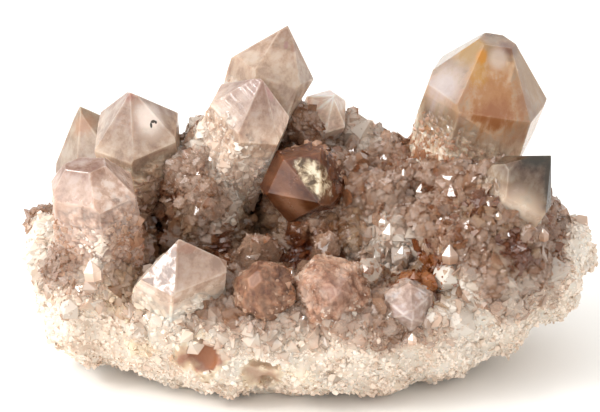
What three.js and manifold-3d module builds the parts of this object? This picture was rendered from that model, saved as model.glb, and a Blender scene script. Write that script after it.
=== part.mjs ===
// A pale smoky amethyst cluster: large quartz points rooted in one rocky, druse-covered matrix.
// Millimetres, +Z up, +X to the right, the show side towards -Y, origin under the middle of the flat base.
import * as THREE from 'three';
import Module from 'manifold-3d';
import { mergeVertices } from 'three/addons/utils/BufferGeometryUtils.js';

const wasm = await Module();
wasm.setup();

// Quartz: six termination faces, each 51.8 degrees off the plane across the crystal's axis.
const SIDES = 6;
const FACE_SLOPE = THREE.MathUtils.degToRad(51.8);
const SEAT_GAP = 0.3; // open seam between a point and the matrix, and between neighbouring points
const BLOCK = 400; // side of the rough block from which every crystal is cut
const LEAST_LUMP = 1; // mm3, below which a chip left by a cut is dropped

// The druse on a point's shank: small crystals in rings, leaning outwards by FLARE from the point's axis.
const FLARE = THREE.MathUtils.degToRad(38);
const STAND_OUT = 0.15; // how far they stand out from the shank, as a share of their width
const BUD_LENGTH = 2.1; // length of any small crystal over its width

// The rock: lumps that merge into one body. reach is how far each goes along X, along Y, up and down.
const ROCK = [
  { centre: [-3, 0, 20.5], reach: [54.5, 35, 7.5, 24], squareness: 2.3, detail: 5 },
  { centre: [-44, 1, 22], reach: [13, 27, 13, 20], squareness: 2.2, detail: 2 },
  { centre: [-52.5, -3, 25], reach: [7.5, 14, 8, 9], squareness: 2, detail: 2 },
  { centre: [-43, -17, 24], reach: [12, 11, 12, 10], squareness: 2, detail: 2 },
  { centre: [-40, 20, 18], reach: [15, 16.5, 15, 15], squareness: 2.1, detail: 2 },
  { centre: [-22, 2, 29], reach: [9, 15, 21, 12], squareness: 2.2, detail: 3 },
  { centre: [3, 15, 31], reach: [13, 13, 14, 12], squareness: 2, detail: 2 },
  { centre: [14, 7, 26], reach: [27, 24, 19, 14], squareness: 2, detail: 3 },
  { centre: [27, 6, 33], reach: [11, 12, 13, 12], squareness: 2, detail: 1 },
  { centre: [34.5, -2, 26], reach: [17, 26, 21, 16], squareness: 2.1, detail: 4 },
  { centre: [41.5, 0, 23], reach: [17.5, 20, 11.5, 14.5], squareness: 2, detail: 3 },
];
const RIPPLES = [
  { height: 0.9, along: [0.34, 0.21, 0.27], phase: 0.6 },
  { height: 0.7, along: [-0.25, 0.46, 0.31], phase: 2.1 },
  { height: 0.5, along: [0.71, -0.52, 0.63], phase: 4.0 },
];
// Hollows weathered into the front of the base.
const PITS = [
  { centre: [-21.4, -32.5, 13.6], reach: [3.2, 2.6, 4, 4], detail: 1 },
  { centre: [-9.5, -32.5, 11.6], reach: [3.8, 2.6, 1.5, 1.5], detail: 1 },
  { centre: [-8.6, -28, 6], reach: [1.7, 2.4, 2.2, 2.2], detail: 1 },
  { centre: [21.5, -28.5, 7], reach: [2.6, 2.4, 1.3, 1.3], detail: 1 },
];

// Small crystals all over the rock's upper side, by a golden-angle walk round each lump.
const CARPET_STEP = 11.8; // mm of surface between neighbours
const CARPET_WIDTH = [3.2, 6];
const CARPET_FLOOR = 18; // below this height the rock is bare
const CARPET_SPAN = 60.2; // how far to the left or right of the middle a small crystal may end
const GOLDEN_ANGLE = Math.PI * (3 - Math.sqrt(5));
// Medium crystals that stand out among them.
const MEDIUM = [
  { tip: [27.9, -27, 31], lean: 8, pitch: 40, spin: 12, width: 5.2 },
  { tip: [30.2, -32, 21], lean: 10, pitch: 70, spin: 25, width: 8.4 },
  { tip: [-9, -21, 34], lean: 12, pitch: 40, spin: 5, width: 8.6 },
  { tip: [4.6, -21, 35.5], lean: 14, pitch: 30, spin: 20, width: 5.6 },
  { tip: [-19.6, -16, 40], lean: 6, pitch: 60, spin: 30, width: 5.4 },
  { tip: [9.5, 15, 50.5], lean: 4, pitch: 12, spin: 8, width: 6.4 },
  { tip: [13, 14, 48.6], lean: 24, pitch: 8, spin: 22, width: 5.6 },
  { tip: [-56.1, -6, 34.2], lean: -26, pitch: 14, spin: 16, width: 6.6 },
  { tip: [-34.6, -32.5, 20.6], lean: -12, pitch: 64, spin: 10, width: 7 },
  { tip: [11.5, -28, 31.5], lean: -4, pitch: 46, spin: 0, width: 5 },
  { tip: [40.5, -24, 31.7], lean: 18, pitch: 50, spin: 14, width: 6.6 },
  { tip: [49.3, -11, 30.6], lean: 36, pitch: 40, spin: 28, width: 6 },
];

// The large points, each in the node that it names; points that grew into each other share a node. tip is
// where the point ends; lean tips it to the right, pitch towards the viewer and spin turns it about its own
// axis, in degrees. faces lists how far each termination face stands out from a perfect tip, and sides does
// the same for the side faces. blunt cuts the tip off. steps are parallel growths fused to it: how far each
// is shifted and by how much it is wider. waist tapers the foot inwards from a depth below the tip.
// druse gives rings of small crystals: from and to in mm below the tip, how many rings, how many in a ring
// and, in degrees, which part of the way round.
const POINTS = [
  {
    node: 'left_rear_point', tip: [-50.2, 21.5, 49.1], lean: -20, pitch: 8, spin: 30, width: 17.2, length: 28,
    faces: [0, 0.8, 0.2, 0, 0.6, 0],
    steps: [{ shift: [0.8, 0.4, -5], bigger: 0.3 }],
  },
  {
    node: 'left_tall_point', tip: [-37.1, -3, 60.1], lean: 4, pitch: 12, spin: 0, width: 16.4, length: 29,
    faces: [0.9, 3.2, 0, 0.3, 0, 0.3], sides: [1.4], blunt: 0.5,
    steps: [{ shift: [-0.3, -0.4, -12], bigger: 0.2 }],
    druse: { from: 20, to: 24, rings: 1, around: 3, width: 4.4, arc: [-110, -30] },
  },
  {
    node: 'left_front_point', tip: [-44.3, -23, 55.9], lean: -4, pitch: 14, spin: 10, width: 15.8, length: 30,
    faces: [0.2, 0, 0.7, 0, 0.4, 0.1], blunt: 4.6,
    steps: [{ shift: [-0.6, 0, -12], bigger: 0.8 }],
    druse: { from: 18, to: 26, rings: 2, around: 4, width: 5.2, arc: [160, 340] },
  },
  {
    node: 'middle_points', tip: [-9.6, -8, 65.2], lean: 20, pitch: 20, spin: 36, width: 14.4, length: 31,
    faces: [0, 1.2, 0, 1.4, 0, 1.2], blunt: 0.8,
    steps: [{ shift: [-1.1, 0.4, -1.2], bigger: -0.4 }],
    druse: { from: 20, to: 30, rings: 2, around: 4, width: 5, arc: [225, 370] },
  },
  {
    node: 'middle_points', tip: [-4.5, 8, 70.8], lean: 18, pitch: 3, spin: 36, width: 15.6, length: 39,
    faces: [0, 0.4, 0, 0.7, 0.1, 0.5],
    steps: [{ shift: [-0.9, 0.3, -6.5], bigger: 0.3 }],
    druse: { from: 24, to: 34, rings: 2, around: 3, width: 5, arc: [20, 170] },
  },
  {
    node: 'ridge_point', tip: [5, 10, 54.9], lean: 20, pitch: 36, spin: 0, width: 9.2, length: 19,
    faces: [0, 0.5, 0, 0.2, 0.3, 0.1],
    steps: [{ shift: [0.3, 0.2, -4], bigger: 0.15 }],
  },
  {
    node: 'smoky_point', tip: [2.3, -18.2, 40.8], lean: 14, pitch: 93, spin: 40, width: 15, length: 14,
    faces: [0, 0.5, 0.1, 0.3, 0, 0.6],
    steps: [{ shift: [0.5, 0.5, -8], bigger: 0.3 }],
  },
  {
    node: 'large_right_point', tip: [40.7, 2, 72], lean: 10, pitch: 12, spin: 36, width: 23, length: 34,
    faces: [0.2, 0.8, 1.6, 1.4, 0, 0.2], sides: [-1.6, 0, 0, 0, 0, -1.6], blunt: 3.4,
    waist: { below: 20, slope: 70 },
    druse: { from: 22, to: 28, rings: 2, around: 4, width: 5.4, arc: [100, 230] },
  },
  {
    node: 'dark_right_point', tip: [48.5, -17, 50.4], lean: 44, pitch: 18, spin: 30, width: 13, length: 14.5,
    faces: [0, 0.3, 0.1, 0.4, 0, 0.5],
    steps: [{ shift: [-0.5, 0.3, -7], bigger: 0.2 }],
  },
  {
    node: 'front_left_point', tip: [-25.6, -34, 39.2], lean: -8, pitch: 36, spin: -16, width: 16.4, length: 18.5,
    faces: [1.8, 0, 0, 1.2, 0, 0], sides: [0.4, 0, 0, 1.4],
    steps: [{ shift: [-0.4, 0.3, -9], bigger: 0.1 }],
    druse: { from: 15, to: 17, rings: 1, around: 3, width: 4.4, arc: [230, 330] },
  },
  {
    node: 'front_mid_point', tip: [-11, -36, 32], lean: -14, pitch: 46, spin: 10, width: 10.8, length: 9.5,
    faces: [0, 0.6, 0.2, 0.3, 0.5, 0], blunt: 1.4,
    steps: [{ shift: [0.3, 0.1, -4], bigger: 0.2 }],
  },
  {
    node: 'front_centre_point', tip: [5.4, -37, 29.8], lean: 6, pitch: 60, spin: 18, width: 14.8, length: 17,
    faces: [0.2, 0, 0.6, 0, 0.5, 0.1], blunt: 0.6,
    steps: [{ shift: [-0.6, 0, -5], bigger: 0.4 }],
  },
  {
    node: 'front_right_point', tip: [19.6, -36, 23.6], lean: 0, pitch: 82, spin: 0, width: 9.4, length: 14,
    faces: [0, 0.4, 0.1, 0.5, 0, 0.3], blunt: 0.9,
    steps: [{ shift: [0.2, 0.3, -3.5], bigger: 0.3 }],
  },
];

// Colours, roughness and metalness from the specimen.
const FINISH = {
  pale: { color: 0xd9c4b4, roughness: 0.18, metalness: 0 },
  smoky: { color: 0xa07c68, roughness: 0.2, metalness: 0 },
  rock: { color: 0xdcd2c4, roughness: 0.75, metalness: 0 },
};
const SMOKY = ['smoky_point', 'dark_right_point', 'front_mid_point'];

// A repeatable value from 0 to 1 for whole number n.
function scatter(n) {
  const s = Math.sin(n * 12.9898 + 4.1414) * 43758.5453;
  return s - Math.floor(s);
}

// A closed three.js geometry as a manifold solid.
function solidOf(geometry) {
  const bare = geometry.clone();
  bare.deleteAttribute('normal');
  bare.deleteAttribute('uv');
  const merged = mergeVertices(bare, 1e-4);
  return new wasm.Manifold(new wasm.Mesh({
    numProp: 3,
    vertProperties: merged.attributes.position.array,
    triVerts: new Uint32Array(merged.index.array),
  }));
}

// A manifold solid as a flat-shaded three.js geometry.
function geometryOf(solid) {
  const mesh = solid.getMesh();
  const points = new Float32Array(mesh.numVert * 3);
  for (let i = 0; i < mesh.numVert; i++) {
    points.set(mesh.vertProperties.subarray(i * mesh.numProp, i * mesh.numProp + 3), i * 3);
  }
  const geometry = new THREE.BufferGeometry();
  geometry.setAttribute('position', new THREE.BufferAttribute(points, 3));
  geometry.setIndex(new THREE.BufferAttribute(new Uint32Array(mesh.triVerts), 1));
  const flat = geometry.toNonIndexed();
  flat.computeVertexNormals();
  return flat;
}

// The largest of the bodies that a cut left.
function largest(solid) {
  const bodies = solid.decompose().filter((body) => body.volume() > LEAST_LUMP);
  return bodies.reduce((best, body) => (body.volume() > best.volume() ? body : best));
}

const rough = solidOf(new THREE.BoxGeometry(BLOCK, BLOCK, BLOCK));

// A crystal with its tip at the origin and its axis along +Z, cut facet by facet from the rough block.
// Every facet stands grow mm further out than its place.
function crystal({ width, length, faces = [], sides = [], blunt, waist }, grow = 0) {
  let solid = rough;
  const cut = (normal, distance) => {
    solid = solid.trimByPlane(normal.map((n) => -n), -(distance + grow));
  };
  for (let side = 0; side < SIDES; side++) {
    const turn = (side / SIDES) * 2 * Math.PI;
    const out = [Math.cos(turn), Math.sin(turn)];
    cut([out[0], out[1], 0], width / 2 + (sides[side] ?? 0));
    const across = Math.sin(FACE_SLOPE);
    cut([out[0] * across, out[1] * across, Math.cos(FACE_SLOPE)], faces[side] ?? 0);
    if (waist) {
      const flat = Math.sin(THREE.MathUtils.degToRad(waist.slope));
      const down = Math.cos(THREE.MathUtils.degToRad(waist.slope));
      cut([out[0] * flat, out[1] * flat, -down], (width / 2) * flat + waist.below * down);
    }
  }
  if (blunt) cut([0, 0, 1], -blunt);
  cut([0, 0, -1], length);
  return solid;
}

// The frame of a crystal that ends at tip: its axis leans to the right, pitches to the viewer and spins.
function standOf({ tip, lean, pitch, spin }) {
  const stand = new THREE.Object3D();
  stand.position.set(...tip);
  stand.rotation.set(...[pitch, lean, spin].map(THREE.MathUtils.degToRad), 'XYZ');
  stand.updateMatrix();
  return stand;
}

// One small crystal that points along the unit vector way and ends at a place.
function bud(width, way, end, spin, grow = 0) {
  const facing = new THREE.Quaternion().setFromUnitVectors(new THREE.Vector3(0, 0, 1), way);
  facing.multiply(new THREE.Quaternion().setFromAxisAngle(new THREE.Vector3(0, 0, 1), spin));
  const stand = new THREE.Matrix4().compose(end, facing, new THREE.Vector3(1, 1, 1));
  return crystal({ width, length: width * BUD_LENGTH, faces: [0, 0.1 * width] }, grow).transform(stand.elements);
}

// Rings of small crystals round a point's shank, in the point's own frame.
function shankDruse({ from, to, rings, around, width, arc = [0, 360] }, shank, seed, grow) {
  const buds = [];
  for (let ring = 0; ring < rings; ring++) {
    const depth = rings > 1 ? from + ((to - from) * ring) / (rings - 1) : (from + to) / 2;
    for (let i = 0; i < around; i++) {
      const n = seed * 97 + ring * around + i;
      const share = (i + 0.5 * (ring % 2) + 0.5 * scatter(n)) / around;
      const turn = THREE.MathUtils.degToRad(arc[0] + share * (arc[1] - arc[0]));
      const size = width * (0.75 + 0.6 * scatter(n + 0.3));
      const flare = FLARE * (0.7 + 0.8 * scatter(n + 0.6));
      const out = new THREE.Vector3(Math.cos(turn), Math.sin(turn), 0);
      const way = out.clone().multiplyScalar(Math.sin(flare)).setZ(Math.cos(flare));
      const end = out.multiplyScalar(shank / 2 + size * STAND_OUT).setZ(-depth + 2 * scatter(n + 0.9));
      buds.push(bud(size, way, end.addScaledVector(way, 0.4 * size), turn, grow));
    }
  }
  return buds;
}

// A whole point in its own frame: the main crystal, its parallel growths and its druse.
function pointSolid(spec, grow = 0) {
  const parts = [crystal(spec, grow)];
  for (const { shift, bigger } of spec.steps ?? []) {
    const growth = { ...spec, width: spec.width + 2 * bigger, length: spec.length + shift[2], blunt: 0 };
    parts.push(crystal(growth, grow).translate(shift));
  }
  if (spec.druse) parts.push(...shankDruse(spec.druse, spec.width, POINTS.indexOf(spec), grow));
  return wasm.Manifold.union(parts);
}

// The height that the rock's ripples add at a place.
function ripple([x, y, z]) {
  return RIPPLES.reduce(
    (sum, { height, along, phase }) => sum + height * Math.sin(along[0] * x + along[1] * y + along[2] * z + phase), 0);
}

// How far a lump reaches from its centre along a unit vector.
function reachAlong([x, y, z], { reach, squareness = 2 }) {
  const terms = [x / reach[0], y / reach[1], z / (z > 0 ? reach[2] : reach[3])];
  return terms.reduce((sum, t) => sum + Math.abs(t) ** squareness, 0) ** (-1 / squareness);
}

// The place on a lump's rippled skin in the direction of a unit vector.
function onSkin(way, lump) {
  const far = reachAlong(way, lump);
  const bare = way.map((w, i) => lump.centre[i] + w * far);
  const lift = ripple(bare);
  return bare.map((b, i) => b + way[i] * lift);
}

function farFrom(a, b) {
  return new THREE.Vector3(...a).distanceTo(new THREE.Vector3(...b));
}

function inLump(place, lump) {
  const from = new THREE.Vector3(...place).sub(new THREE.Vector3(...lump.centre));
  const distance = from.length();
  return distance < reachAlong(from.normalize().toArray(), lump);
}

// A rippled lump of rock: an icosphere whose every vertex is moved out to the lump's skin.
function lumpSolid(lump) {
  const geometry = new THREE.IcosahedronGeometry(1, lump.detail ?? 2);
  const position = geometry.attributes.position;
  for (let i = 0; i < position.count; i++) {
    const way = new THREE.Vector3().fromBufferAttribute(position, i).normalize().toArray();
    position.setXYZ(i, ...onSkin(way, lump));
  }
  return solidOf(geometry);
}

// Small crystals standing out of one lump's upper skin, clear of the other lumps and of the large points.
function carpetOn(lump, seed) {
  const buds = [];
  const area = 2 * Math.PI * lump.reach[0] * (lump.reach[1] + lump.reach[2]);
  const count = Math.round(area / CARPET_STEP ** 2);
  for (let i = 0; i < count; i++) {
    const rise = 1 - (2 * (i + 0.5)) / count;
    const turn = i * GOLDEN_ANGLE;
    const flat = Math.sqrt(1 - rise * rise);
    const way = [flat * Math.cos(turn), flat * Math.sin(turn), rise];
    const place = onSkin(way, lump);
    const covered = ROCK.some((other) => other !== lump && inLump(place, other));
    const crowded = POINTS.some(({ tip, width }) => farFrom(place, tip) < width);
    if (covered || crowded || place[2] < CARPET_FLOOR) continue;
    const n = seed * 311 + i;
    const width = CARPET_WIDTH[0] + (CARPET_WIDTH[1] - CARPET_WIDTH[0]) * scatter(n) ** 2;
    const up = new THREE.Vector3(
      way[0] / lump.reach[0] + 0.02 * (scatter(n + 0.2) - 0.5),
      way[1] / lump.reach[1] + 0.02 * (scatter(n + 0.4) - 0.5),
      way[2] / lump.reach[way[2] > 0 ? 2 : 3] + 0.02,
    ).normalize();
    const end = new THREE.Vector3(...place).addScaledVector(up, width * (0.5 + 0.4 * scatter(n + 0.7)));
    if (Math.abs(end.x) < CARPET_SPAN) buds.push(bud(width, up, end, turn));
  }
  return buds;
}

// The rock with its crystals, its pits and its flat base, before the large points are seated in it.
function matrixSolid() {
  const medium = MEDIUM.map((spec) => crystal({ length: spec.width * BUD_LENGTH, faces: [0, 0.4], ...spec })
    .transform(standOf(spec).matrix.elements));
  const rock = wasm.Manifold.union([...ROCK.map(lumpSolid), ...ROCK.flatMap(carpetOn), ...medium]);
  const pits = wasm.Manifold.union(PITS.map(lumpSolid));
  return rock.subtract(pits).trimByPlane([0, 0, 1], 0);
}

function meshOf(name, geometry, finish) {
  const mesh = new THREE.Mesh(geometry, new THREE.MeshStandardMaterial({ ...finish, flatShading: true }));
  mesh.name = name;
  return mesh;
}

const cluster = new THREE.Group();
for (const name of new Set(POINTS.map(({ node }) => node))) {
  const specs = POINTS.filter(({ node }) => node === name);
  const stand = standOf(specs[0]);
  const toNode = stand.matrix.clone().invert();
  const solid = wasm.Manifold.union(specs.map((spec) => pointSolid(spec)
    .transform(toNode.clone().multiply(standOf(spec).matrix).elements)));
  const mesh = meshOf(name, geometryOf(largest(solid)), SMOKY.includes(name) ? FINISH.smoky : FINISH.pale);
  mesh.position.copy(stand.position);
  mesh.quaternion.copy(stand.quaternion);
  cluster.add(mesh);
}
const sockets = POINTS.map((spec) => pointSolid(spec, SEAT_GAP).transform(standOf(spec).matrix.elements));
const matrix = matrixSolid().subtract(wasm.Manifold.union(sockets));
cluster.add(meshOf('matrix', geometryOf(largest(matrix)), FINISH.rock));

export default cluster;
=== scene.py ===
import itertools
import math

import bpy
import numpy as np
from bpy.props import FloatProperty, FloatVectorProperty, IntProperty, PointerProperty
from mathutils import Matrix, Vector


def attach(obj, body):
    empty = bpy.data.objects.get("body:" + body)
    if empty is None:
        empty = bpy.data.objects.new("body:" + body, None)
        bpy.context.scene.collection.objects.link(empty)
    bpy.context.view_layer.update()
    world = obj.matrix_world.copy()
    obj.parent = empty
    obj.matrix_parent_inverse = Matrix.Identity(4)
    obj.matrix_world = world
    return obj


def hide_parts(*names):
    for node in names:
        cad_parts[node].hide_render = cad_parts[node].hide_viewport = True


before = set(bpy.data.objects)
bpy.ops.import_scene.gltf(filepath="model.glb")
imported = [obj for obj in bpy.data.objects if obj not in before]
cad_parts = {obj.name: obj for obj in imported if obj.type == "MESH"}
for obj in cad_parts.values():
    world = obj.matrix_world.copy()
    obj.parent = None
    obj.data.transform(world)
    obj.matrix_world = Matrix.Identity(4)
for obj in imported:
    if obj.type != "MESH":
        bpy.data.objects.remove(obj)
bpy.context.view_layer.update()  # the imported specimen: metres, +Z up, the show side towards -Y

bl_info = {
    "name": "Amethyst specimen",
    "version": (1, 0, 0),
    "blender": (4, 5, 0),
    "location": "View3D > Sidebar > Specimen",
    "description": "Builds the crystals, the rock and the studio stage of an amethyst cluster",
    "category": "Add Mesh",
}

MM = 0.001
MOST_TRIANGLES = 190000  # in one piece of small crystals
FAR_IN = 9.0  # the inset of a place that is far from any edge, beyond the veils and rims

# The camera of the photograph: what it looks at, how steeply it looks down, how far off it stands, its lens.
AIM = np.array([-2, 0, 33.6])
CAMERA_RISE = math.radians(20)
CAMERA_FAR = 425
CAMERA = AIM + CAMERA_FAR * np.array([0, -math.cos(CAMERA_RISE), math.sin(CAMERA_RISE)])
LENS, SENSOR = 120.8, 36

# The lights stand round this place, each as many degrees to the right and up as its two numbers say. The
# small one, spark, glints in the crystals.
LIT = np.array([0, 0, 30])
LAMP_FAR = 620
KEY, FRONT, SPARK = (-70, 38), (-39, 0), (-60, 42)

# Quartz: six tip faces, each 51.8 degrees off the plane across the crystal's axis.
SIDES = 6
SLOPE = math.radians(51.8)
TIP_RISE = 0.5 * math.tan(SLOPE)  # a perfect tip's height over the crystal's width
GOLDEN_ANGLE = math.pi * (3 - math.sqrt(5))

# The lumps of the rock: centre, and how far each goes along X, along Y, up and down.
LUMPS = [
    ((-3, 0, 20.5), (54.5, 35, 7.5, 24), 2.3),
    ((-44, 1, 22), (13, 27, 13, 20), 2.2),
    ((-52.5, -3, 25), (7.5, 14, 8, 9), 2),
    ((-43, -17, 24), (12, 11, 12, 10), 2),
    ((-40, 21, 18), (15, 16.5, 15, 15), 2.1),
    ((-22, 2, 29), (9, 15, 21, 12), 2.2),
    ((3, 15, 31), (13, 13, 14, 12), 2),
    ((14, 7, 26), (27, 24, 19, 14), 2),
    ((27, 6, 33), (11, 12, 13, 12), 2),
    ((34.5, -2, 26), (17, 26, 21, 16), 2.1),
    ((41.5, 0, 23), (17.5, 20, 11.5, 14.5), 2),
    ((-2.6, 9, 45), (4.6, 6, 10.5, 10), 2),
]
RIPPLES = [
    (0.9, (0.34, 0.21, 0.27), 0.6),
    (0.7, (-0.25, 0.46, 0.31), 2.1),
    (0.5, (0.71, -0.52, 0.63), 4.0),
]
PITS = [
    ((-21.4, -32.5, 13.6), (3.2, 2.6, 4)),
    ((-9.5, -32.5, 11.6), (3.8, 2.6, 1.5)),
    ((-8.6, -28, 6), (1.7, 2.4, 2.2)),
    ((21.5, -28.5, 7), (2.6, 2.4, 1.3)),
]

# The carpet of medium crystals over the rock, where the solids have it.
CARPET_STEP = 11.8
CARPET_WIDTH = (3.2, 6)
CARPET_FLOOR = 18
CARPET_SPAN = 60.2
BUD_LENGTH = 2.1
# Round these tips of the large solids the carpet stays away as far as their widths.
CLEARINGS = [
    ((-50.2, 21.5, 49.1), 17.2), ((-37.1, -3, 60.1), 16.4), ((-44.3, -23, 55.9), 15.8),
    ((-9.6, -8, 65.2), 14.4), ((-4.5, 8, 70.8), 15.6), ((5, 10, 54.9), 9.2), ((2.3, -18.2, 40.8), 15),
    ((40.7, 2, 72), 23), ((48.5, -17, 50.4), 13), ((-25.6, -34, 39.2), 16.4), ((-11, -36, 32), 10.8),
    ((5.4, -37, 29.8), 14.8), ((19.6, -36, 23.6), 9.4),
]
MEDIUM = [  # tip, lean to the right, pitch to the viewer, spin about its axis, width, how much lighter
    ((27.9, -27, 31), 8, 40, 12, 5.2, 0.3),
    ((30.2, -32, 21), 10, 70, 25, 8.4, 0.26),
    ((-9, -21, 34), 12, 40, 5, 8.6, 0),
    ((4.6, -21, 35.5), 14, 30, 20, 5.6, 0),
    ((-19.6, -16, 40), 6, 60, 30, 5.4, 0.15),
    ((9.5, 15, 50.5), 4, 12, 8, 6.4, 0.12),
    ((13, 14, 48.6), 24, 8, 22, 5.6, 0.05),
    ((-56.1, -6, 34.2), -26, 14, 16, 6.6, 0.12),
    ((-34.6, -32.5, 20.6), -12, 64, 10, 7, 0.1),
    ((11.5, -28, 31.5), -4, 46, 0, 5, 0.3),
    ((20.6, -26.5, 29), 6, 40, 10, 4.6, 0.1),
    ((24.4, -27, 28.2), 14, 50, 30, 4, 0.1),
    ((40.5, -24, 31.7), 18, 50, 14, 6.6, 0),
    ((49.3, -11, 30.6), 36, 40, 28, 6, -0.05),
]

# The large points. lean, pitch and spin turn each, in degrees. faces and sides say how far each of its six
# tip and side faces stands out from a perfect crystal's, blunt how much of its tip is missing, and trims are
# further facets: a direction in the crystal's own frame, and the distance from its tip. bare is how far below
# the tip it stays free of small crystals; they climb higher by climb on its side that faces side, in degrees
# round from the right, 270 facing the viewer, coat scales the size of them and light how pale they are.
POINTS = [
    dict(name="left_rear", tip=(-50.2, 21.5, 49.1), lean=-20, pitch=8, spin=30, width=18.4, length=28,
         faces=(0, 0.8, 0.2, 0, 0.6, 0), sides=(0, 0, 0, 0.9, 0, 0),
         trims=((-0.544, 0.43, 0.721, -0.13), (0.77, 0.052, 0.636, -0.071), (-0.978, 0.192, -0.087, 11.87)),
         bare=17, climb=2, side=180),
    dict(name="left_tall", tip=(-37.2, -3, 60.2), lean=-5, pitch=24, spin=-1, width=17.3, length=29,
         faces=(0.5, -0.5, 0.4, -0.5, 0, 0.2), sides=(0, 0, 0.5, -0.3, 0.4, 0.1), blunt=0.6,
         trims=((-0.552, 0.472, 0.687, -0.298), (-0.941, 0.074, 0.331, 4.312), (0.518, 0.612, 0.598, 0.634),
                (0.991, 0.101, -0.083, 9.85), (0.899, -0.194, -0.392, 14.032),
                (-0.969, -0.246, -0.017, 10.333)),
         bare=13.5, climb=2.5, side=300, light=0.3),
    dict(name="left_front", tip=(-44, -23, 55), lean=-4, pitch=12, spin=9, width=15.9, length=30,
         faces=(-0.3, -0.5, -0.1, 1.1, 0, -0.2), sides=(0, 0, 0, 0.1, -0.3, 0.3), blunt=4.4,
         trims=((0.169, 0.491, 0.854, -2.671), (-0.994, 0.033, 0.104, 7.418), (-0.734, 0.328, 0.594, 1.513)),
         bare=9.5, climb=1.5, side=280, light=0.18),
    dict(name="middle_front", tip=(-9.3, -8, 63.9), lean=17, pitch=25, spin=43, width=15.3, length=31,
         faces=(-0.4, 0.1, 0.8, 0, -0.2, -0.2), sides=(0, 0, 0.4, -0.4, 0.4, 0.2),
         trims=((0.617, -0.778, 0.123, 6.724), (0.735, -0.108, 0.669, 0.789), (0.714, -0.624, 0.317, 4.901),
                (0.508, -0.861, -0.034, 8.876)),
         bare=11.5, climb=6.5, side=190, light=0.34),
    dict(name="middle_rear", tip=(-4.5, 8, 70.8), lean=18, pitch=3, spin=36, width=16, length=39,
         faces=(0, 0.4, 0, 0.7, 0.1, 0.5), sides=(),
         trims=((-0.427, 0.638, 0.64, -0.009), (0.671, -0.316, 0.67, -0.058), (0.674, -0.711, -0.203, 10.451),
                (-0.775, 0.63, -0.048, 9.721)),
         bare=17, climb=5, side=190),
    dict(name="ridge", tip=(5.3, 10, 54.9), lean=16, pitch=38, spin=-2, width=9.4, length=19,
         faces=(-0.3, 0.5, 0, -0.1, 0, 0), sides=(-0.4, 0.4, 0, -0.2, 0.2, 0.2), bare=9, climb=2, side=0),
    dict(name="smoky", tip=(2.9, -18.2, 39.8), lean=19, pitch=96, spin=34, width=15.7, length=14,
         faces=(-0.6, 0.5, 0.7, -0.2, -0.7, 0.4), sides=(-0.3, 0, 0.4, -0.2, 0, 0.6),
         bare=6.8, climb=4.2, side=322, light=0.04),
    dict(name="large_right", tip=(39.9, 2, 73.1), lean=13, pitch=9, spin=38, width=24.4, length=34,
         faces=(-0.1, 0, 0.1, 0.8, -0.6, -0.1), sides=(0.3, 0, 0, 0.6, -0.3, 0.4), blunt=4.4,
         trims=((-0.544, 0.789, 0.285, 6.554), (-0.443, 0.778, 0.445, 3.934), (-0.174, 0.657, 0.734, -0.668),
                (0.639, -0.329, 0.695, 0.586), (0.603, -0.796, -0.051, 13.826),
                (0.566, -0.813, -0.138, 15.538), (-0.701, 0.705, -0.105, 14.307),
                (-0.648, 0.759, 0.061, 10.374)),
         bare=25, climb=8, side=190, light=0.1),
    dict(name="dark_right", tip=(48.6, -17, 51.7), lean=31, pitch=16, spin=29, width=14.3, length=14.5,
         faces=(-0.3, 0, 0, 1.8, -1, -0.5), sides=(0.4, 0, 0, 0.4, -0.1, 0.3),
         trims=((-0.106, 0.709, 0.697, -1.069), (0.662, -0.476, 0.579, -0.371), (0.594, -0.8, 0.088, 5.929),
                (-0.054, -0.625, -0.779, 17.445)),
         bare=11.6, climb=1.5, side=180, light=0.1),
    dict(name="front_left", tip=(-24.8, -34, 41.2), lean=5, pitch=31, spin=0, width=16.9, length=18.5,
         faces=(2.1, -1.9, -1.7, 0.2, 1.1, 0.4), sides=(0.7, 0, 0, 0.3, 0.3, -1),
         trims=((-0.765, 0.512, 0.391, -0.805), (0.368, 0.731, 0.575, -2.005), (0.999, -0.005, 0.039, 9.237)),
         bare=12, climb=1, side=270, light=0.45),
    dict(name="front_mid", tip=(-11, -36, 32), lean=-14, pitch=46, spin=10, width=10.8, length=9.5,
         faces=(0, 0.6, 0.2, 0.3, 0.5, 0), sides=(), blunt=1.4,
         bare=0.6, climb=0, side=270, coat=0.8, light=0),
    dict(name="front_centre", tip=(5.4, -37, 29.8), lean=6, pitch=60, spin=18, width=14.8, length=17,
         faces=(0.2, 0, 0.6, 0, 0.5, 0.1), sides=(), blunt=0.6,
         bare=1.6, climb=1, side=200, coat=0.8, light=0.3),
    dict(name="front_right", tip=(19.6, -36, 23.6), lean=0, pitch=82, spin=0, width=9.4, length=14,
         faces=(0, 0.4, 0.1, 0.5, 0, 0.3), sides=(), blunt=0.9,
         bare=3.4, climb=0, side=90, coat=0.8, light=0.2),
]
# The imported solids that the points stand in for; the two middle points share one.
SOLIDS = {"middle_front": "middle_points", "middle_rear": None}

# Where iron stains the specimen, and how strongly: centre, radius, strength. Up to 0.35 it is yellowish,
# about 0.6 red-brown and towards 1 orange. Two of them, in the hollows below the left and middle points,
# paint a warm brown shade.
STAINS_AND_HOLLOW_SHADE = [
    ((22, -25, 27.5), 6.6, 1.5),
    ((8.4, -15, 33), 6.5, 0.36),
    ((41.8, -23.5, 32.4), 6.5, 0.7),
    ((34, -20.3, 41.6), 5, 0.6),
    ((-21.4, -31, 12.8), 6, 0.78),
    ((-9.5, -29, 8.5), 6.4, 0.54),
    ((-35, -30, 14), 6, 0.3),
    ((-2, -35, 9), 6, 0.25),
    ((-36, -27, 25), 7, 0.45),
    # painted shade: these two give the hollows below the left and middle points their warm brown
    ((-30, -12, 33), 7, 0.5),
    ((-14, -4, 31), 8, 0.45),
    ((26, -2, 50), 4, 0.5),
]
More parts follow.
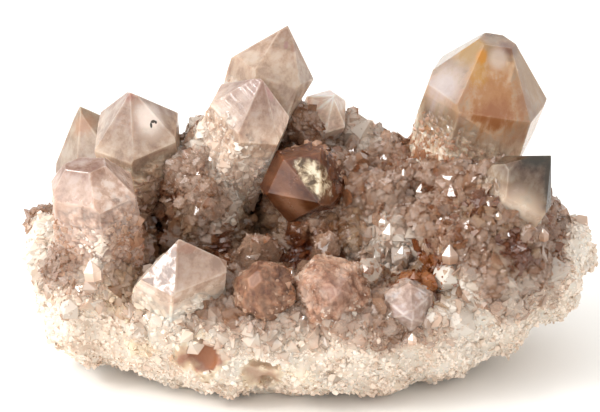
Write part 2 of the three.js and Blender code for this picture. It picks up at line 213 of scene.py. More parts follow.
# Deep places between the crystals, where little light comes out, darkened with painted shade: centre, radius,
# strength.
PAINTED_HOLLOW_SHADE = [
    ((-31, -10, 33), 8, 0.3),
    ((-34, 3, 30), 9, 0.6),
    ((-30, -22, 28), 6, 0.3),
    ((-18.7, -12, 30.5), 3.8, 0.9),
    ((-2.5, -13, 28), 6.5, 1.2),
    ((4.5, -15, 33.5), 3.6, 0.55),
    ((17, -36, 18), 5, 0.25),
    ((3, -9, 38), 6, 0.2),
    ((-1, 2, 46), 6, 0.25),
    ((14, -22, 26), 4, 0.35),
    ((51, -11, 31), 4, 0.3),
]
# Crystals that catch the small light: the place of each and its width.
GLINTS = [
    ((-20.3, -5.6, 47), 1.7), ((-16.8, -4.6, 42), 2), ((-18.2, -8.8, 41.3), 2.4), ((27.5, -2, 46.6), 3),
    ((19.5, -4.2, 43.4), 3), ((23, -8, 41.5), 2.4), ((35.7, -21.2, 42.8), 2.5), ((27.7, -26.4, 35.2), 3.2),
    ((18.9, -16.4, 31), 2.1), ((-3.6, -21, 27.4), 1.8), ((37.5, -22.8, 40.8), 1.4), ((34.4, -8.3, 46), 3),
    ((33.7, 6.6, 46.4), 3), ((15.3, -13.6, 37), 2.6), ((16.3, -15, 35.4), 3), ((13.2, -16.8, 30.6), 2.4),
    ((13.9, -21, 27.4), 1.6), ((20, -37.2, 20.6), 1.8), ((-43.1, -32, 34), 3.4), ((47, -20, 36), 2),
    ((24, -12, 39), 1.6), ((29, -16, 38), 1.6), ((16, -3.5, 42.5), 1.8),
]
# Paler places, partly pale quartz and partly painted light on crystals that lie in shade: centre, radius, how
# much lighter.
PALE_AND_PAINTED_LIT_PLACES = [
    ((-42.5, -28, 36), 5, 0.4),
    ((-27, -36, 25), 8, 0.3),
    ((-53, -9, 26), 12, 0.6),
    ((-15, -9, 51), 10, 0.3),
    ((19.8, -34, 24), 6, 0.2),
    ((56, -6, 27), 6, 0.35),
    ((31, -30, 22), 7, 0.15),
    ((-2.6, 9, 52), 7, 0.12),
    ((13, 14, 46), 10, 0.3),
    ((10, -17, 33), 6, 0.15),
    ((38, 0, 49), 9, 0.12),
    ((-30, -13, 42), 8, 0.2),
    ((-8, -36, 14), 12, 0.1),
    ((-23, 1, 50), 10, 0.4),
    # painted light in the shade between the middle and the front left points
    ((-19, -5, 37), 9, 0.5),
    ((-14, -26, 30), 7, 0.2),
    ((16, -15, 31), 7, 0.35),
    ((27, -31, 26), 8, 0.45),
    ((0, -13, 38), 5, 0.3),
    ((-24, -36, 20), 6, 0.2),
    ((32, 5, 50), 7, 0.28),
    ((31, -18, 31), 6, 0.15),
]


# Numbers

def hashed(cells, seed):
    """A repeatable value from 0 to 1 for each cell of whole numbers: its three numbers times large primes,
    mixed bit by bit."""
    n = np.asarray(cells).astype(np.int64)
    h = (n[..., 0] * 73856093) ^ (n[..., 1] * 19349663) ^ (n[..., 2] * 83492791) ^ (seed * 2654435761)
    for _ in range(2):
        h = h & 0xFFFFFFFF
        h = ((h ^ (h >> 16)) * 0x45D9F3B) & 0xFFFFFFFF
    return ((h ^ (h >> 16)) & 0xFFFFFF) / 0x1000000


def noise(points, size, seed):
    """Smooth noise from -1 to 1: a hashed value at each corner of a grid of that size, eased and blended."""
    scaled = points / size
    low = np.floor(scaled)
    t = scaled - low
    t = t * t * (3 - 2 * t)
    total = np.zeros(len(points))
    for corner in np.ndindex(2, 2, 2):
        weight = np.prod(np.where(corner, t, 1 - t), axis=-1)
        total += weight * hashed(low + np.array(corner), seed)
    return 2 * total - 1


def grain(points, size, seed):
    """Grains from 0 at their seams to 1 at their middles: one less the distance to the nearest of the
    centres that each cell of that size holds one of."""
    low = np.floor(points / size)
    nearest = np.full(len(points), 9.0)
    for step in np.ndindex(3, 3, 3):
        cell = low + np.array(step) - 1
        centre = cell + np.stack([hashed(cell, seed + k) for k in range(3)], -1)
        nearest = np.minimum(nearest, np.linalg.norm(points / size - centre, axis=-1))
    return np.clip(1 - nearest, 0, 1)


def ease(low, high, values):
    """0 below low, 1 above high, and a smooth step between."""
    t = np.clip((values - low) / (high - low), 0, 1)
    return t * t * (3 - 2 * t)


def scatter(n):
    """The fractional part of a large sine: the carpet's own repeatable value from 0 to 1."""
    s = np.sin(n * 12.9898 + 4.1414) * 43758.5453
    return s - np.floor(s)


def unit(vectors):
    return vectors / np.maximum(np.linalg.norm(vectors, axis=-1, keepdims=True), 1e-9)


def stance(lean, pitch, spin):
    """The turn of a crystal: pitch about X, after lean about Y, after spin about its own axis."""
    turns = [Matrix.Rotation(math.radians(angle), 3, axis)
             for angle, axis in ((pitch, "X"), (lean, "Y"), (spin, "Z"))]
    return np.array(turns[0] @ turns[1] @ turns[2])


def turn_to(ways):
    """For each unit vector the shortest turn that takes +Z to it: I + K + K K / (1 + z), where K is the
    cross product matrix of Z and the vector."""
    x, y, z = ways.T
    nil = np.zeros_like(x)
    k = np.stack([np.stack([nil, nil, x], -1), np.stack([nil, nil, y], -1), np.stack([-x, -y, nil], -1)], -2)
    return np.eye(3) + k + (k @ k) / np.maximum(1 + z, 1e-6)[:, None, None]


def thinned(points, spacing, draws):
    """Which points to keep so that each cube of that spacing holds one: the first by a random order."""
    order = draws.permutation(len(points))
    cells = np.floor(points[order] / spacing).astype(np.int64)
    _, first = np.unique(cells, axis=0, return_index=True)
    return np.sort(order[first])


# Fields: what a place in the specimen is like

def planes_of(point):
    """A point's facets in its own frame, as rows of a unit direction and a distance: six sides half its width
    out, six tip faces through the origin, its foot, its blunt end and its trims."""
    turns = np.arange(SIDES) * 2 * math.pi / SIDES
    ring = np.stack([np.cos(turns), np.sin(turns)], -1)
    sides = np.zeros(SIDES)
    sides[:len(point["sides"])] = point["sides"]
    rows = [np.column_stack([ring, np.zeros(SIDES), point["width"] / 2 + sides])]
    rows.append(np.column_stack([ring * math.sin(SLOPE), np.full(SIDES, math.cos(SLOPE)), point["faces"]]))
    rows.append([[0, 0, -1, point["length"]]])
    if "blunt" in point:
        rows.append([[0, 0, 1, -point["blunt"]]])
    rows.extend([trim] for trim in point.get("trims", ()))
    return np.concatenate(rows)


def turn_of(point):
    return stance(point["lean"], point["pitch"], point["spin"])


def into_point(places, point):
    """Places of the specimen in a point's own frame: its tip at the origin, its axis along +Z."""
    return (places - np.array(point["tip"])) @ turn_of(point)


def out_of_point(local, point):
    """Places in a point's own frame, back in the specimen."""
    return local @ turn_of(point).T + np.array(point["tip"])


def point_depth(places, point):
    """How far each place lies outside a large point: the largest of its distances to the facets."""
    planes = planes_of(point)
    return (into_point(places, point) @ planes[:, :3].T - planes[:, 3]).max(1)


def outside_points(places):
    """The distance of each place to the nearest large point, below 0 inside one."""
    return np.min([point_depth(places, point) for point in POINTS], axis=0)


def lump_share(places, lump):
    """1 on a lump's smooth skin and less inside: (|x/a|^n + |y/b|^n + |z/c|^n)^(1/n)."""
    centre, reach, square = lump
    from_centre = places - np.array(centre)
    tall = np.where(from_centre[:, 2] > 0, reach[2], reach[3])
    reaches = np.stack([np.full_like(tall, reach[0]), np.full_like(tall, reach[1]), tall], -1)
    return (np.abs(from_centre / reaches) ** square).sum(1) ** (1 / square)


def on_skin(ways, lump):
    """The place on a lump's rippled skin in each direction: as far as the superellipsoid reaches, lifted by
    three crossing sine waves."""
    centre = np.array(lump[0])
    bare = centre + ways / lump_share(centre + ways, lump)[:, None]
    lift = sum(height * np.sin(bare @ np.array(along) + phase) for height, along, phase in RIPPLES)
    return bare + ways * lift[:, None]


def over_border(places):
    """How far above the border between cream-white rock and brown druse each place is. The border is uneven,
    and higher on the left and at the right end."""
    x = places[:, 0]
    border = 19 + 7.5 * ease(-18, -46, x) + 2.5 * ease(12, 40, x) + 12 * ease(48, 58, x)
    return places[:, 2] + 3.6 * noise(places, 9, 11) + 2 * noise(places, 3.4, 12) - border


def blush(places):
    """0 where the specimen is bare rock and 1 where druse covers it."""
    return ease(-5, 4, over_border(places))


def marked(places, marks, edge, seed):
    """The strongest mark at each place, each fading outwards from its centre with a ragged edge."""
    worn = 0.28 * noise(places, edge, seed) + 0.18 * noise(places, edge / 2.2, seed + 1)
    return np.max([
        strength * ease(1.25, 0.3, np.linalg.norm(places - np.array(centre), axis=1) / radius + worn)
        for centre, radius, strength in marks], axis=0)


def rust(places):
    """How much iron stains each place; in two hollows the same value gives painted warm shade."""
    return np.clip(marked(places, STAINS_AND_HOLLOW_SHADE, 2.4, 21), 0, 1)


def lightness_and_painted_light(places):
    """How light the quartz looks at each place: 0.5 on the druse and 1 on cream rock, varied at random,
    raised by painted light in the pale places and lowered by painted shade to 0 in the deepest hollow."""
    shown = 0.5 + 0.06 * noise(places, 11, 31) + 0.07 * noise(places, 4.5, 32) + 0.05 * noise(places, 2.2, 35)
    shown = shown + 0.42 * ease(11, -6, over_border(places)) + marked(places, PALE_AND_PAINTED_LIT_PLACES, 5, 36)
    return np.clip(shown * (1 - 0.95 * np.clip(marked(places, PAINTED_HOLLOW_SHADE, 4, 33), 0, 1)), 0, 1)


# Meshes

def mesh_from(name, places, corners, counts):
    """A mesh from whole arrays: its places, the corners of all its faces in a row, and how many corners each
    face has."""
    mesh = bpy.data.meshes.new(name)
    mesh.vertices.add(len(places))
    mesh.vertices.foreach_set("co", places.astype(np.float32).ravel())
    mesh.loops.add(len(corners))
    mesh.loops.foreach_set("vertex_index", corners.astype(np.int32))
    mesh.polygons.add(len(counts))
    mesh.polygons.foreach_set("loop_start", (np.cumsum(counts) - counts).astype(np.int32))
    mesh.update(calc_edges=True)
    return mesh


def piece_from(name, places, corners, counts, values, material, slot, smooth=False):
    """A piece of the specimen from whole arrays: its places in millimetres, the corners of all its faces in
    a row, how many corners each face has, and named values, one for each place, corner or face."""
    mesh = mesh_from(name, places * MM, corners, counts)
    mesh.polygons.foreach_set("use_smooth", np.full(len(counts), smooth))
    domains = {len(counts): "FACE", len(corners): "CORNER", len(places): "POINT"}
    for key, value in values.items():
        layer = mesh.attributes.new(key, "FLOAT", domains[len(value)])
        layer.data.foreach_set("value", np.asarray(value, np.float32))
    mesh.validate()
    mesh.materials.append(material)
    piece = bpy.data.objects.new(name, mesh)
    bpy.context.scene.collection.objects.link(piece)
    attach(piece, "root")
    return piece


def facet_body(planes):
    """The closed body inside all the planes. Its corners are where three planes meet and no other plane cuts
    them off, and each face's corners are ordered round its middle. Returns places, corners, counts and the
    plane of each face."""
    triples = np.array(list(itertools.combinations(range(len(planes)), 3)))
    normals = planes[:, :3]
    triples = triples[np.abs(np.linalg.det(normals[triples])) > 1e-6]
    meets = np.linalg.solve(normals[triples], planes[triples][..., 3:])[..., 0]
    kept = (meets @ normals.T <= planes[:, 3] + 1e-6).all(1)
    meets, triples = meets[kept], triples[kept]
    _, first, same = np.unique(np.round(meets, 4), axis=0, return_index=True, return_inverse=True)
    places = meets[first]
    loops, planes_used = [], []
    for plane, normal in enumerate(normals):
        ring = np.unique(same.ravel()[(triples == plane).any(1)])
        if len(ring) < 3:
            continue
        across = unit(np.cross(normal, (0.3, 0.5, 0.81)))
        spokes = places[ring] - places[ring].mean(0)
        order = np.argsort(np.arctan2(spokes @ np.cross(normal, across), spokes @ across))
        loops.append(ring[order])
        planes_used.append(plane)
    return places, np.concatenate(loops), np.array([len(loop) for loop in loops]), np.array(planes_used)


def fanned(places, corners, counts):
    """Each flat face cut into triangles round its middle. Returns the places, the corners, the counts, the
    face each triangle comes from, and at each corner its distance to the edge of the face."""
    face = np.repeat(np.arange(len(counts)), counts)
    starts = np.cumsum(counts) - counts
    after = np.arange(len(corners)) + 1
    after[starts + counts - 1] = starts
    middles = np.add.reduceat(places[corners], starts) / counts[:, None]
    a, b, m = places[corners], places[corners[after]], middles[face]
    far = np.linalg.norm(np.cross(b - a, m - a), axis=1) / np.linalg.norm(b - a, axis=1)
    triangles = np.stack([corners, corners[after], len(places) + face], -1)
    inset = np.stack([0 * far, 0 * far, far], -1)
    return np.concatenate([places, middles]), triangles.ravel(), np.full(len(face), 3), face, inset.ravel()


def ball_faces(rows, columns):
    """The faces of a closed ball of that many rings of places between two poles: fans of triangles at the
    poles and quads between the rings, facing out. The poles are the last two places, top and bottom."""
    col = np.arange(columns)
    after = (col + 1) % columns
    row = np.arange(rows - 1)[:, None] * columns
    quads = np.stack([row + col, row + columns + col, row + columns + after, row + after], -1).reshape(-1, 4)
    top, bottom = rows * columns, rows * columns + 1
    last = (rows - 1) * columns
    fans = np.concatenate([
        np.stack([np.full(columns, top), col, after], -1),
        np.stack([np.full(columns, bottom), last + after, last + col], -1),
    ])
    corners = np.concatenate([quads.ravel(), fans.ravel()])
    return corners, np.concatenate([np.full(len(quads), 4), np.full(len(fans), 3)])


def ball_ways(rows, columns):
    """The directions of a ball's places, for its two parameters: the tilt from the top and the turn."""
    tilt, turn = np.meshgrid((np.arange(rows) + 1) / (rows + 1) * math.pi,
                             np.arange(columns) / columns * 2 * math.pi, indexing="ij")
    flat = np.sin(tilt)
    ways = np.stack([flat * np.cos(turn), flat * np.sin(turn), np.cos(tilt)], -1)
    return np.concatenate([ways.reshape(-1, 3), [[0, 0, 1], [0, 0, -1]]])


def body_of(point, look):
    """A large point in its own frame: places, corners and counts of its faces, and for each corner the
    painted light and shade of its facet, how chipped the facet is and how far the corner lies from the
    facet's edge."""
    planes = planes_of(point)
    places, corners, counts, used = facet_body(planes)
    places, corners, counts, face, inset = fanned(places, corners, counts)
    values = {"inset": inset}
    for key, name, usual in (("painted_shading", "painted_shadings", 1.0), ("chips", "chipped", 0.0)):
        facets = np.array([look.get(name, {}).get(plane - SIDES, usual) for plane in range(len(planes))])
        values[key] = np.repeat(facets[used][face], 3)
    return places, corners, counts, values


def border_of(point):
    """The plane in a point's own frame above which it is free of small crystals: bare below its tip, and
    tilted so that it climbs on one side."""
    side = math.radians(point["side"])
    steep = 2 * point["climb"] / point["width"]
    way = unit(np.array([-steep * math.cos(side), -steep * math.sin(side), 1.0]))
    return np.append(way, -point["bare"] * way[2])


def past_border(local, point):
    """How far below its border each place in a point's own frame lies, with an uneven edge."""
    border = border_of(point)
    return border[3] - local @ border[:3] + 2.4 * noise(local, 3.6, 71)


def crust_of(point, power=26):
    """The crust of small crystals on a point's shank, in the specimen's frame. From its middle each
    direction w reaches 1 / (sum over the planes of (n.w / d)^power)^(1 / power), where d is how far the
    plane n lies from the middle: the body inside all the point's planes and its border, with rounded edges.
    It is lifted by grains of two sizes, ever more below the border. Returns places, corners, counts and the
    height of the grains."""
    planes = np.concatenate([planes_of(point), [border_of(point)]])
    middle = facet_body(planes)[0].mean(0)
    rows, columns = round(16 + 2.7 * point["width"]), round(24 + 4 * point["width"])
    ways = ball_ways(rows, columns)
    share = np.maximum(ways @ planes[:, :3].T, 0) / (planes[:, 3] - planes[:, :3] @ middle)
    far = 1 / (share ** power).sum(1) ** (1 / power)
    local = middle + ways * far[:, None]
    past = past_border(local, point)
    bumps = 0.6 * grain(local, 1.5, 72) + 0.4 * grain(local, 0.75, 75)
    rise = ease(-1, 7, past)
    local += ways * (rise * (0.5 + 1.4 * (bumps - 0.45)) - 0.16)[:, None]
    return out_of_point(local, point), *ball_faces(rows, columns), bumps


# One small crystal: a foot ring, a shoulder ring and a short ridge for its tip, as 14 places. The finest are
# only a hexagonal pyramid, a foot ring and a tip.
CRYSTAL_FACES = (
    [[k, (k + 1) % 6, 6 + (k + 1) % 6, 6 + k] for k in range(6)]
    + [[6, 7, 12], [7, 8, 13, 12], [8, 9, 13], [9, 10, 13], [10, 11, 12, 13], [11, 6, 12]]
    + [[5, 4, 3, 2, 1, 0]])
PYRAMID_FACES = [[k, (k + 1) % 6, 6] for k in range(6)] + [[5, 4, 3, 2, 1, 0]]
RING_TURNS = np.arange(SIDES) * math.pi / 3
RING = np.stack([np.cos(RING_TURNS), np.sin(RING_TURNS)], -1) / math.sqrt(3)


def crystals(tips, turns, widths, lengths, draws, uneven=0.12, ridge=0.16):
    """Many small crystals at once. Corner k of each ring stands at k times 60 degrees, width over root three
    from the axis; the shoulder lies TIP_RISE times the width below the tip, each pair of corners a little
    higher or lower, and the tip is a ridge of a random share of the width. turns takes each to its place."""
    count = len(tips)
    flat = 1 + 0.3 * uneven * draws.standard_normal((count, 1, 2)).clip(-2, 2)
    local = np.zeros((count, 14, 3))
    local[:, :6, :2] = RING * flat * 0.92
    local[:, 6:12, :2] = RING * flat
    local[:, :6, 2] = -(lengths / widths)[:, None]
    drop = uneven * draws.standard_normal((count, 4)).clip(-2, 2)
    local[:, 6:12, 2] = -TIP_RISE * (1 + drop[:, [0, 1, 1, 2, 3, 3]])
    half = ridge * draws.random(count) ** 2
    aside = 0.5 * uneven * draws.standard_normal((count, 2)).clip(-2, 2)
    local[:, 12, 0] = half
    local[:, 13, 0] = -half
    local[:, 12:, :2] += aside[:, None, :]
    local *= widths[:, None, None]
    return tips[:, None, :] + np.einsum("nij,nkj->nki", turns, local)


def pyramids(tips, turns, widths, lengths, draws, uneven=0.12):
    """Many fine crystals at once: six corners as deep below the tip as the crystal is long, on the slopes of
    a tip that run on downwards, each a little uneven."""
    count = len(tips)
    local = np.zeros((count, 7, 3))
    local[:, :6, :2] = RING / TIP_RISE
    local[:, :6, 2] = -1
    deep = lengths[:, None] * (1 + uneven * draws.standard_normal((count, 6)).clip(-2, 2))
    local[:, :6] *= deep[..., None]
    return tips[:, None, :] + np.einsum("nij,nkj->nki", turns, local)


def repeated(faces, size, count):
    """The corners and the corner counts of these faces on that many crystals, each of size places."""
    corners = np.concatenate(faces) + size * np.arange(count)[:, None]
    return corners.ravel(), np.tile([len(face) for face in faces], count)


def crystal_pieces(name, tips, turns, widths, lengths, draws, material, slot, lighter=0.0, fine=False,
                   **form):
    """These small crystals, in as many pieces as keep each under MOST_TRIANGLES. Each place of each carries
    how high it is on its crystal, a tone of the crystal's own, and the fields at its tip, among them how
    light it is with painted light and shade; lighter adds to that. Returns their places, corners and counts."""
    faces = PYRAMID_FACES if fine else CRYSTAL_FACES
    rise = np.array([0] * 6 + [1]) if fine else np.array([0] * 6 + [0.7] * 6 + [1, 1])
    places = (pyramids if fine else crystals)(tips, turns, widths, lengths, draws, **form)
    values = {
        "tone": draws.random(len(tips)), "rust": rust(tips), "lightness_and_painted_light": np.clip(lightness_and_painted_light(tips) + lighter, 0, 1)}
    _, counts = repeated(faces, len(rise), 1)
    most = MOST_TRIANGLES // (counts - 2).sum()
    for part, own in enumerate(np.array_split(np.arange(len(tips)), math.ceil(len(tips) / most))):
        held = {key: np.repeat(value[own], len(rise)) for key, value in values.items()}
        held["rise"] = np.tile(rise, len(own))
        piece_from(f"{name}_{part + 1}", places[own].reshape(-1, 3),
                   *repeated(faces, len(rise), len(own)), held, material, slot)
    return places.reshape(-1, 3), *repeated(faces, len(rise), len(tips))


def facet_sites(places, corners, counts, spacing, draws):
    """Random places on flat faces, by area, at most one in each cube of that spacing, and the normals there.
    Each face is cut into triangles that share its first corner."""
    cuts = counts - 2
    first = np.repeat(np.cumsum(counts) - counts, cuts)
    second = first + 1 + np.arange(len(first)) - np.repeat(np.cumsum(cuts) - cuts, cuts)
    a, b, c = (places[corners[at]] for at in (first, second, second + 1))
    normal = np.cross(b - a, c - a)
    area = np.linalg.norm(normal, axis=1) / 2
    pick = draws.choice(len(area), round(3 * area.sum() / spacing ** 2), p=area / area.sum())
    u, v = np.sqrt(draws.random((len(pick), 1))), draws.random((len(pick), 1))
    sites = a[pick] * (1 - u) + b[pick] * u * (1 - v) + c[pick] * u * v
    chosen = thinned(sites, spacing, draws)
    return sites[chosen], unit(normal[pick[chosen]])


def tilted(normals, spread, draws):
    """Turns that stand crystals up along the normals, tipped at random by about spread (as a slope), with a
    random spin."""
    ways = unit(normals + spread * draws.standard_normal(normals.shape))
    spins = draws.random(len(ways)) * 2 * math.pi
    spun = np.zeros((len(ways), 3, 3))
    spun[:, 0, 0] = spun[:, 1, 1] = np.cos(spins)
    spun[:, 1, 0], spun[:, 0, 1] = np.sin(spins), -np.sin(spins)
    spun[:, 2, 2] = 1
    return ways, turn_to(ways) @ spun


def merged_lumps(voxel):
    """All the lumps as one closed skin: their balls in one mesh, remeshed to that voxel. Returns its places
    in millimetres, its normals, and its faces' corners and counts."""
    rows, columns = 60, 96
    corners, counts = ball_faces(rows, columns)
    per_ball = rows * columns + 2
    places = np.concatenate([on_skin(ball_ways(rows, columns), lump) for lump in LUMPS])
    corners = np.concatenate([corners + per_ball * k for k in range(len(LUMPS))])
    mesh = mesh_from("lumps", places, corners, np.tile(counts, len(LUMPS)))
    lumps = bpy.data.objects.new("lumps", mesh)
    bpy.context.scene.collection.objects.link(lumps)
    remesh = lumps.modifiers.new("one skin", "REMESH")
    remesh.mode = "VOXEL"
    remesh.voxel_size = voxel
    done = lumps.evaluated_get(bpy.context.evaluated_depsgraph_get()).to_mesh()
    skin = np.zeros(len(done.vertices) * 3, np.float32)
    normals = np.zeros(len(done.vertices) * 3, np.float32)
    corners = np.zeros(len(done.loops), np.int32)
    counts = np.zeros(len(done.polygons), np.int32)
    done.vertices.foreach_get("co", skin)
    done.vertex_normals.foreach_get("vector", normals)
    done.loops.foreach_get("vertex_index", corners)
    done.polygons.foreach_get("loop_total", counts)
    bpy.data.objects.remove(lumps)
    bpy.data.meshes.remove(mesh)
    return skin.reshape(-1, 3).astype(float), normals.reshape(-1, 3).astype(float), corners, counts


def weathered(places, normals):
    """The rock's skin pushed in and out along its normals: broad lumps, small knobs and grains, with the pits
    scooped out of its front and its base cut flat."""
    high = ease(0, 2.5, places[:, 2])
    white = 1 - blush(places)
    push = 0.6 * noise(places, 7, 1) + 0.4 * noise(places, 2.6, 2)
    push += white * (1.1 * grain(places, 3.4, 3) + 0.55 * grain(places, 1.5, 6) - 0.7)
    push -= (1 - white) * 0.4
    moved = places + normals * (push * high)[:, None]
    for centre, reach in PITS:
        share = ((moved - np.array(centre)) / np.array(reach))
        across = share[:, 0] ** 2 + share[:, 2] ** 2
        inside = (across < 1) & (np.abs(share[:, 1]) < 1.8)
        back = centre[1] + reach[1] * np.sqrt(np.clip(1 - across, 0, 1))
        moved[:, 1] = np.where(inside, np.maximum(moved[:, 1], back), moved[:, 1])
    moved[:, 2] = np.maximum(moved[:, 2], 0)
    return moved


# The rock's skin is needed by several operators, so it is worked out once.
SKIN = {}


def rock_skin():
    if not SKIN:
        smooth, normals, corners, counts = merged_lumps(bpy.context.scene.specimen_sizes.rock_grid / MM)
        SKIN.update(places=weathered(smooth, normals), normals=normals, corners=corners, counts=counts)
    return SKIN


def skin_sites(spacing, draws, floor, jitter=0.3):
    """Places on the rock's skin about spacing apart, and the normals there."""
    skin = rock_skin()
    keep = skin["places"][:, 2] > floor
    places, normals = skin["places"][keep], skin["normals"][keep]
    chosen = thinned(places + jitter * draws.standard_normal(places.shape), spacing, draws)
    return places[chosen], normals[chosen]


def carpet(lump, seed):
    """The medium crystals of one lump: a golden-angle walk from its top down, on its skin, clear of the other
    lumps and of the large points. Returns tips, ways, spins and widths."""
    reach = lump[1]
    count = round(2 * math.pi * reach[0] * (reach[1] + reach[2]) / CARPET_STEP ** 2)
    i = np.arange(count)
    rise = 1 - 2 * (i + 0.5) / count
    turn = i * GOLDEN_ANGLE
    flat = np.sqrt(1 - rise ** 2)
    ways = np.stack([flat * np.cos(turn), flat * np.sin(turn), rise], -1)
    places = on_skin(ways, lump)
    covered = np.any([lump_share(places, other) < 1 for other in LUMPS if other is not lump], axis=0)
    crowded = np.any([
        np.linalg.norm(places - np.array(tip), axis=1) < width for tip, width in CLEARINGS], axis=0)
    n = seed * 311 + i
    widths = CARPET_WIDTH[0] + (CARPET_WIDTH[1] - CARPET_WIDTH[0]) * scatter(n) ** 2
    tall = np.where(rise > 0, reach[2], reach[3])
    up = unit(np.stack([
        ways[:, 0] / reach[0] + 0.02 * (scatter(n + 0.2) - 0.5),
        ways[:, 1] / reach[1] + 0.02 * (scatter(n + 0.4) - 0.5),
        ways[:, 2] / tall + 0.02,
    ], -1))
    tips = places + up * (widths * (0.5 + 0.4 * scatter(n + 0.7)))[:, None]
    keep = ~covered & ~crowded & (places[:, 2] >= CARPET_FLOOR) & (np.abs(tips[:, 0]) < CARPET_SPAN)
    return tips[keep], up[keep], turn[keep], widths[keep]


# Materials

def linear(code, alpha=1.0):
    """A hex colour as the eye sees it, turned into linear red, green, blue and alpha."""
    parts = [int(code[k:k + 2], 16) / 255 for k in (1, 3, 5)]
    return tuple(p / 12.92 if p <= 0.04045 else ((p + 0.055) / 1.055) ** 2.4 for p in parts) + (alpha,)


def add(tree, kind, links=None, stops=None, **settings):
    """Adds one node with its settings. links gives each of its sockets a value, another node's output, or
    another node, whose first output it then takes, and stops gives the colours of a ramp."""
    made = tree.nodes.new(kind)
    for key, value in settings.items():
        setattr(made, key, value)
    for key, value in (links or {}).items():
        if isinstance(value, bpy.types.Node):
            value = value.outputs[0]
        if isinstance(value, bpy.types.NodeSocket):
            tree.links.new(value, made.inputs[key])
        else:
            made.inputs[key].default_value = value
    if stops:
        ramp = made.color_ramp.elements
        while len(ramp) < len(stops):
            ramp.new(0.5)
        for stop, (place, colour) in zip(ramp, stops):
            stop.position, stop.color = place, colour
    return made


def new_material(name):
    """An empty node material and its tree."""
    material = bpy.data.materials.new(name)
    material.use_nodes = True
    material.node_tree.nodes.clear()
    return material, material.node_tree


def finish(material, tree, shader, **inside):
    """The material with this shader on its surface, and inside it what Volume= gives."""
    add(tree, "ShaderNodeOutputMaterial", {"Surface": shader, **inside})
    return material


def mixed(tree, share, first, second, blend="MIX"):
    """A colour between first and second."""
    node = add(tree, "ShaderNodeMix", {0: share, 6: first, 7: second}, data_type="RGBA", blend_type=blend)
    return node.outputs[2]


# What the rock and the druse look like from the painted shade of their deepest hollows to their lightest,
# milkiest parts.
ROCK_STOPS = [
    (0.0, linear("#5c2c16")), (0.12, linear("#7c482c")), (0.3, linear("#97684a")), (0.5, linear("#bb9478")),
    (0.68, linear("#c6aa94")), (0.84, linear("#d0c0af")), (1.0, linear("#dad1c5"))]
DRUSE_STOPS = [
    (0.0, linear("#94502c")), (0.12, linear("#ac6840")), (0.3, linear("#bf8a66")), (0.5, linear("#d8b093")),
    (0.68, linear("#ebceb8")), (0.84, linear("#f2dfcc")), (1.0, linear("#f6ebde"))]
RUST_STOPS = [
    (0.0, linear("#ffffff")), (0.3, linear("#e8cf9e")), (0.6, linear("#9a5f42")), (1.0, linear("#bf7010"))]


def attribute(tree, name):
    return add(tree, "ShaderNodeAttribute", attribute_name=name).outputs["Fac"]


def stained(tree, colour):
    """The colour with the iron stain over it: yellow, red-brown and orange as it grows stronger; in two
    hollows the same colours are a painted warm shade.
    """
    stain = attribute(tree, "rust")
    iron = add(tree, "ShaderNodeValToRGB", {"Fac": stain}, RUST_STOPS)
    share = add(tree, "ShaderNodeMapRange", {"Value": stain, "From Max": 0.7, "To Max": 0.9})
    return mixed(tree, share, colour, mixed(tree, 0.6, iron, mixed(tree, 1.0, colour, iron, "MULTIPLY")))


def druse_quartz(name, rough, see_through, painted_root_shade=0.2):
    """Druse: tiny intergrown quartz crystals with natural glassy faces. They let light through and scatter it
    inside. Each is pale and soft at its tip and darker at its root, a painted shade in the crevices between
    the crystals, and each differs a little from the next."""
    material, tree = new_material(name)
    # painted shade: darker towards each crystal's root, where the crystals crowd together
    rise = add(tree, "ShaderNodeMapRange", {
        "Value": attribute(tree, "rise"), "To Min": -painted_root_shade, "To Max": 0.3 * painted_root_shade})
    own = attribute(tree, "tone")
    tone = add(tree, "ShaderNodeMapRange", {"Value": own, "To Min": -0.08, "To Max": 0.08})
    level = add(tree, "ShaderNodeMath", {0: attribute(tree, "lightness_and_painted_light"), 1: rise})
    level = add(tree, "ShaderNodeMath", {0: level, 1: tone})
    base = add(tree, "ShaderNodeValToRGB", {"Fac": level}, DRUSE_STOPS)
    roughness = add(tree, "ShaderNodeMapRange", {"Value": own, "To Min": 0.08, "To Max": rough})
    see = add(tree, "ShaderNodeMapRange", {
        "Value": attribute(tree, "lightness_and_painted_light"), "From Min": 0.72, "From Max": 1.0, "To Min": see_through,
        "To Max": 0.5 * see_through})
    shader = add(tree, "ShaderNodeBsdfPrincipled", {
        "Base Color": stained(tree, base), "Roughness": roughness, "IOR": 1.54,
        "Transmission Weight": see})
    return finish(material, tree, shader)


